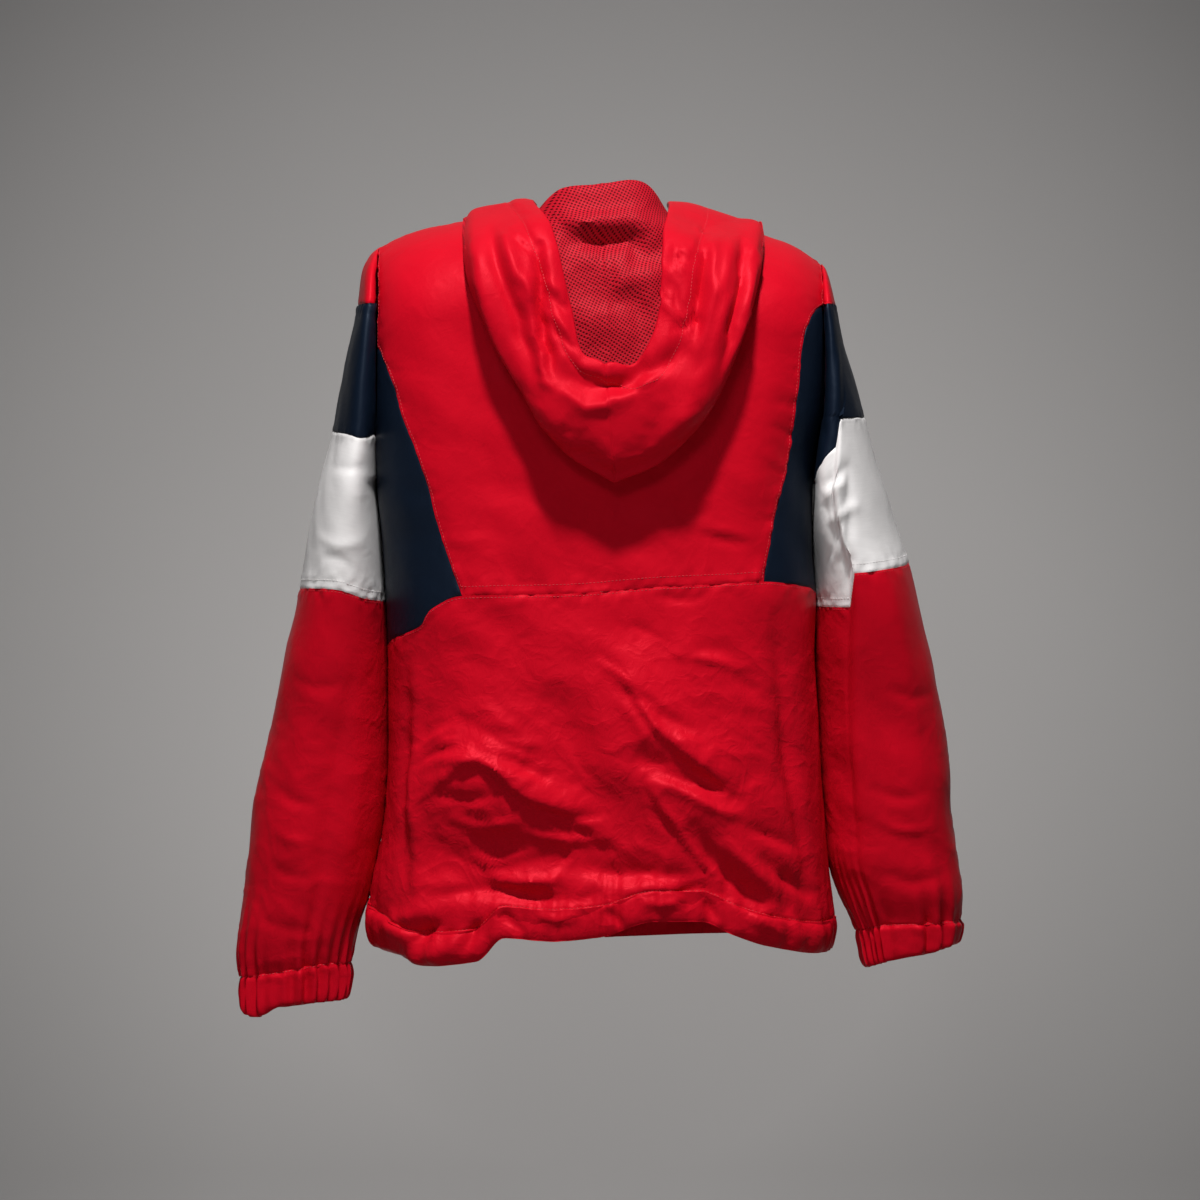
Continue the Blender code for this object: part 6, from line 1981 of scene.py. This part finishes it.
def make_stitching():
    words = ("left", "right")
    red = [("back_upper", "bottom", WAIST_STITCH)]
    red += [("back_upper", side, STITCH_IN) for side in words]
    for word in words:
        red += [("front_upper_" + word, "bottom", WAIST_STITCH), ("front_upper_" + word, "left", STITCH_IN),
                ("front_upper_" + word, "right", ZIP_STITCH), ("sleeve_lower_" + word, "top", SLEEVE_STITCH),
                ("front_lower_" + word, "top", STITCH_IN), ("front_lower_" + word, "left", ZIP_STITCH)]
    red += [("back_lower", "top", STITCH_IN), ("hem_casing", "top", CASING_STITCH)]
    red += [("cuff_" + word, "top", CASING_STITCH) for word in words]
    red += [("hood_shell", "bottom", smooth(TUNNEL, "wide", hood_rows()))]
    white = [("sleeve_band_" + word, "bottom", BAND_STITCH) for word in words]
    for name, lines, tint in (("red", red, "thread"), ("white", white, "white")):
        mat = trim(name + "_thread", tint, 0.6, 0.0, 900.0, 0.0001)
        points, faces = stitches_on([line_inside(*line) for line in lines])
        dress(new_object("stitches_" + name, points, faces, mat), name + "_nylon")


TOOTH_SIZE = (1.25, 0.62, 0.95)  # half sizes across, along and out
TOOTH_SIDE = 0.75


def make_zip():
    low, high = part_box("zip_chain")
    pitch = millimetres("tooth_pitch")
    z = np.arange(high.z / MM - pitch, low.z / MM + pitch, -pitch / 2)
    middle = body_at(np.zeros(len(z)), cloth_down(0.0, z), FRONT)
    ahead = unit(np.gradient(middle, axis=0))
    across = np.broadcast_to(np.array([1.0, 0, 0]), middle.shape)
    out = np.cross(ahead, across)
    out = out * np.sign(out[:, 1:2])
    sides = np.where(np.arange(len(z)) % 2 == 0, 1.0, -1.0)[:, None]
    points, faces = modelled("tooth", TOOTH_SIZE, tooth_shape)
    centres = middle + across * sides * TOOTH_SIDE + out * 0.1
    placed, numbers = copies(points, faces, centres, across, out)
    teeth = new_object("zip_teeth", placed, numbers, trim("zip_teeth_red", "tape", 0.38, 0.0, 500.0, 0.0001))
    dress(teeth, "zip_teeth", "zip_chain")
    tape = trim("zip_tape_red", "tape", 0.7, 0.0, 1300.0, 0.0002)
    metal = trim("zip_metal_grey", "metal", 0.3, 1.0, 160.0, 0.00006)
    for node, mat, slot in (("zip_tape_left", tape, "zip_tape"), ("zip_tape_right", tape, "zip_tape"),
                            ("zip_slider", metal, "zip_metal"), ("zip_pull", metal, "zip_metal")):
        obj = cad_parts[node]
        obj.data.materials.clear()
        obj.data.materials.append(mat)


# --- the studio ---

EYE = (-0.0018, -7.0, -0.3497)
EYE_LENS = 227.0
FLOOR_Z = -1.45
WALL_Y = 0.95
WALL_TOP = 2.6
COVE = 0.5
STAGE_HALF = 3.4
# A pool of light painted on the backdrop: its colour is full near this middle and falls to a dim share far
# from it, darker towards the corners.
LIGHT_POOL_MIDDLE = (0.0, 0.95, -0.62)
LIGHT_POOL_REACH = 0.33  # painted shade: the backdrop's colour darkens from this distance from the middle of the painted pool of light
LIGHT_POOL_FADED = 1.18
LIGHT_POOL_DIM = 0.20
BACKDROP_TINT = (0.46, 0.447, 0.438)
FLOOR_TINT = (0.62, 0.61, 0.60)
LIGHTS = [  # name, place, aim, width, height, power
    ("key", (-0.08, -2.05, 3.55), (0.0, -0.1, -0.30), 0.42, 0.32, 240.0),
    ("front", (-0.5, -3.2, 1.1), (0.0, 0.0, -0.4), 0.9, 0.6, 14.0),
    ("front_side", (2.2, 2.4, 1.2), (0.0, 0.0, -0.4), 1.6, 1.2, 70.0),
    ("front_other", (-1.6, 3.0, 1.6), (0.0, 0.0, -0.4), 1.6, 1.2, 60.0),
]


def aim(place, target):
    """Rotation that turns a light at a place towards a target."""
    way = np.array(target) - np.array(place)
    return math.atan2(math.hypot(way[0], way[1]), -way[2]), 0, math.atan2(way[0], -way[1]) + math.pi


def stage_material(name, tint, see_through_with_light_pool):
    """Matt studio paper; the backdrop has a pool of light painted into its colour, darker away from its
    middle, and can be looked through from behind.
    """
    mat, tree, shader = new_material(name)
    points = object_points(tree)
    tone = math_node(tree, "MULTIPLY_ADD", noise_node(tree, points, 3.0, 2.0), 0.05, 0.97)
    if see_through_with_light_pool:
        # Painted light: the colour falls off with distance from the middle of the painted pool of light.
        away = add_node(tree, "VectorMath", {0: points, 1: LIGHT_POOL_MIDDLE}, operation="DISTANCE")
        fall = fitted(tree, away.outputs["Value"], LIGHT_POOL_REACH, LIGHT_POOL_FADED, 1.0, LIGHT_POOL_DIM, "LINEAR")
        tone = math_node(tree, "MULTIPLY", tone, fall)
        clear = add_node(tree, "BsdfTransparent", {})
        behind = add_node(tree, "NewGeometry", {})
        mix = add_node(tree, "MixShader", {
            0: behind.outputs["Backfacing"], 1: shader.outputs[0], 2: clear.outputs[0]})
        feed(tree, tree.nodes["Material Output"], {"Surface": mix.outputs[0]})
    feed(tree, shader, {"Base Color": scaled_colour(tree, tint, tone), "Roughness": 0.9})
    return mat


def studio_object(name, data, place, turn):
    obj = bpy.data.objects.new(name, data)
    obj.location = place
    obj.rotation_euler = turn
    bpy.context.scene.collection.objects.link(obj)
    return obj


def make_stage():
    corners = [(-6, -6), (6, -6), (6, 6), (-6, 6)]
    floor = new_object("studio_floor", np.array([(x, y, FLOOR_Z) for x, y in corners]) / MM, [[0, 1, 2, 3]],
                       stage_material("floor_paper", FLOOR_TINT, False))
    turns = np.radians(np.linspace(0, 90, 16))
    foot = FLOOR_Z + 0.002
    profile = [(WALL_Y - 2.0, foot)]
    profile += [(WALL_Y - COVE + COVE * math.sin(t), foot + COVE * (1 - math.cos(t))) for t in turns]
    profile += [(WALL_Y, WALL_TOP)]
    points = [(x, y, z) for x in (STAGE_HALF, -STAGE_HALF) for y, z in profile]
    count = len(profile)
    faces = [[k, k + 1, k + count + 1, k + count] for k in range(count - 1)]
    wall = new_object("studio_backdrop", np.array(points) / MM, faces,
                      stage_material("backdrop_paper_light_pool", BACKDROP_TINT, True))
    for name, place, target, width, height, power in LIGHTS:
        lamp = bpy.data.lights.new(name, "AREA")
        lamp.shape = "RECTANGLE"
        lamp.size = width
        lamp.size_y = height
        lamp.energy = power
        studio_object(name, lamp, place, aim(place, target))
    world = bpy.data.worlds.new("studio_world")
    world.use_nodes = True
    sky = world.node_tree
    feed(sky, sky.nodes["Background"], {"Color": (0.95, 0.96, 1.0, 1), "Strength": 0.05})
    camera = bpy.data.cameras.new("camera")
    camera.lens = EYE_LENS
    camera.sensor_width = 36
    scene = bpy.context.scene
    scene.world = world
    scene.camera = studio_object("camera", camera, EYE, (math.pi / 2, 0, 0))
    scene.view_settings.view_transform = "Standard"


# --- operators and panel ---

class JACKET_OT_body(bpy.types.Operator):
    """Sew the back, fronts and navy side panels"""

    bl_idname = "jacket.body"
    bl_label = "Body Panels"

    def execute(self, context):
        make_back_upper()
        for side in (LEFT, RIGHT):
            make_front_upper(side)
            make_side(side)
        make_lowers()
        return {"FINISHED"}


class JACKET_OT_hem(bpy.types.Operator):
    """Sew the elasticated hem casing"""

    bl_idname = "jacket.hem"
    bl_label = "Hem Casing"

    def execute(self, context):
        make_hem_casing()
        return {"FINISHED"}


class JACKET_OT_sleeves(bpy.types.Operator):
    """Sew the sleeves in their three colours, with gathered cuffs"""

    bl_idname = "jacket.sleeves"
    bl_label = "Sleeves and Cuffs"

    def execute(self, context):
        for side in (LEFT, RIGHT):
            make_sleeve(side)
        return {"FINISHED"}


class JACKET_OT_hood(bpy.types.Operator):
    """Sew the hood's shell, its tunnel and its mesh lining"""

    bl_idname = "jacket.hood"
    bl_label = "Hood and Lining"

    def execute(self, context):
        make_hood()
        return {"FINISHED"}


class JACKET_OT_stitching(bpy.types.Operator):
    """Topstitch the finished seams"""

    bl_idname = "jacket.stitching"
    bl_label = "Topstitching"

    def execute(self, context):
        make_stitching()
        return {"FINISHED"}


class JACKET_OT_zip(bpy.types.Operator):
    """Set the zip's teeth and finish its tape, slider and pull"""

    bl_idname = "jacket.zip"
    bl_label = "Front Zip"

    def execute(self, context):
        make_zip()
        return {"FINISHED"}


class JACKET_OT_stage(bpy.types.Operator):
    """Set up the floor, backdrop, lights and camera"""

    bl_idname = "jacket.stage"
    bl_label = "Studio"

    def execute(self, context):
        make_stage()
        return {"FINISHED"}


class JACKET_PT_panel(bpy.types.Panel):
    """Sizes, colours and steps of the jacket"""

    bl_idname = "JACKET_PT_panel"
    bl_label = "Jacket"
    bl_space_type = "VIEW_3D"
    bl_region_type = "UI"
    bl_category = "Jacket"

    def draw(self, context):
        layout = self.layout
        for group in (context.scene.jacket_sizes, context.scene.jacket_colours):
            column = layout.column(align=True)
            for name in group.__annotations__:
                column.prop(group, name)
        for step_class in STEPS:
            layout.operator(step_class.bl_idname)


STEPS = (JACKET_OT_body, JACKET_OT_hem, JACKET_OT_sleeves, JACKET_OT_hood, JACKET_OT_stitching,
         JACKET_OT_zip, JACKET_OT_stage)
CLASSES = (JacketSizes, JacketColours) + STEPS + (JACKET_PT_panel,)


def register():
    for each in CLASSES:
        bpy.utils.register_class(each)
    bpy.types.Scene.jacket_sizes = bpy.props.PointerProperty(type=JacketSizes)
    bpy.types.Scene.jacket_colours = bpy.props.PointerProperty(type=JacketColours)


def unregister():
    del bpy.types.Scene.jacket_colours
    del bpy.types.Scene.jacket_sizes
    for each in reversed(CLASSES):
        bpy.utils.unregister_class(each)


def main():
    register()
    bpy.ops.jacket.body()
    bpy.ops.jacket.hem()
    bpy.ops.jacket.sleeves()
    bpy.ops.jacket.hood()
    bpy.ops.jacket.stitching()
    bpy.ops.jacket.zip()
    bpy.ops.jacket.stage()


if __name__ == "__main__":
    main()
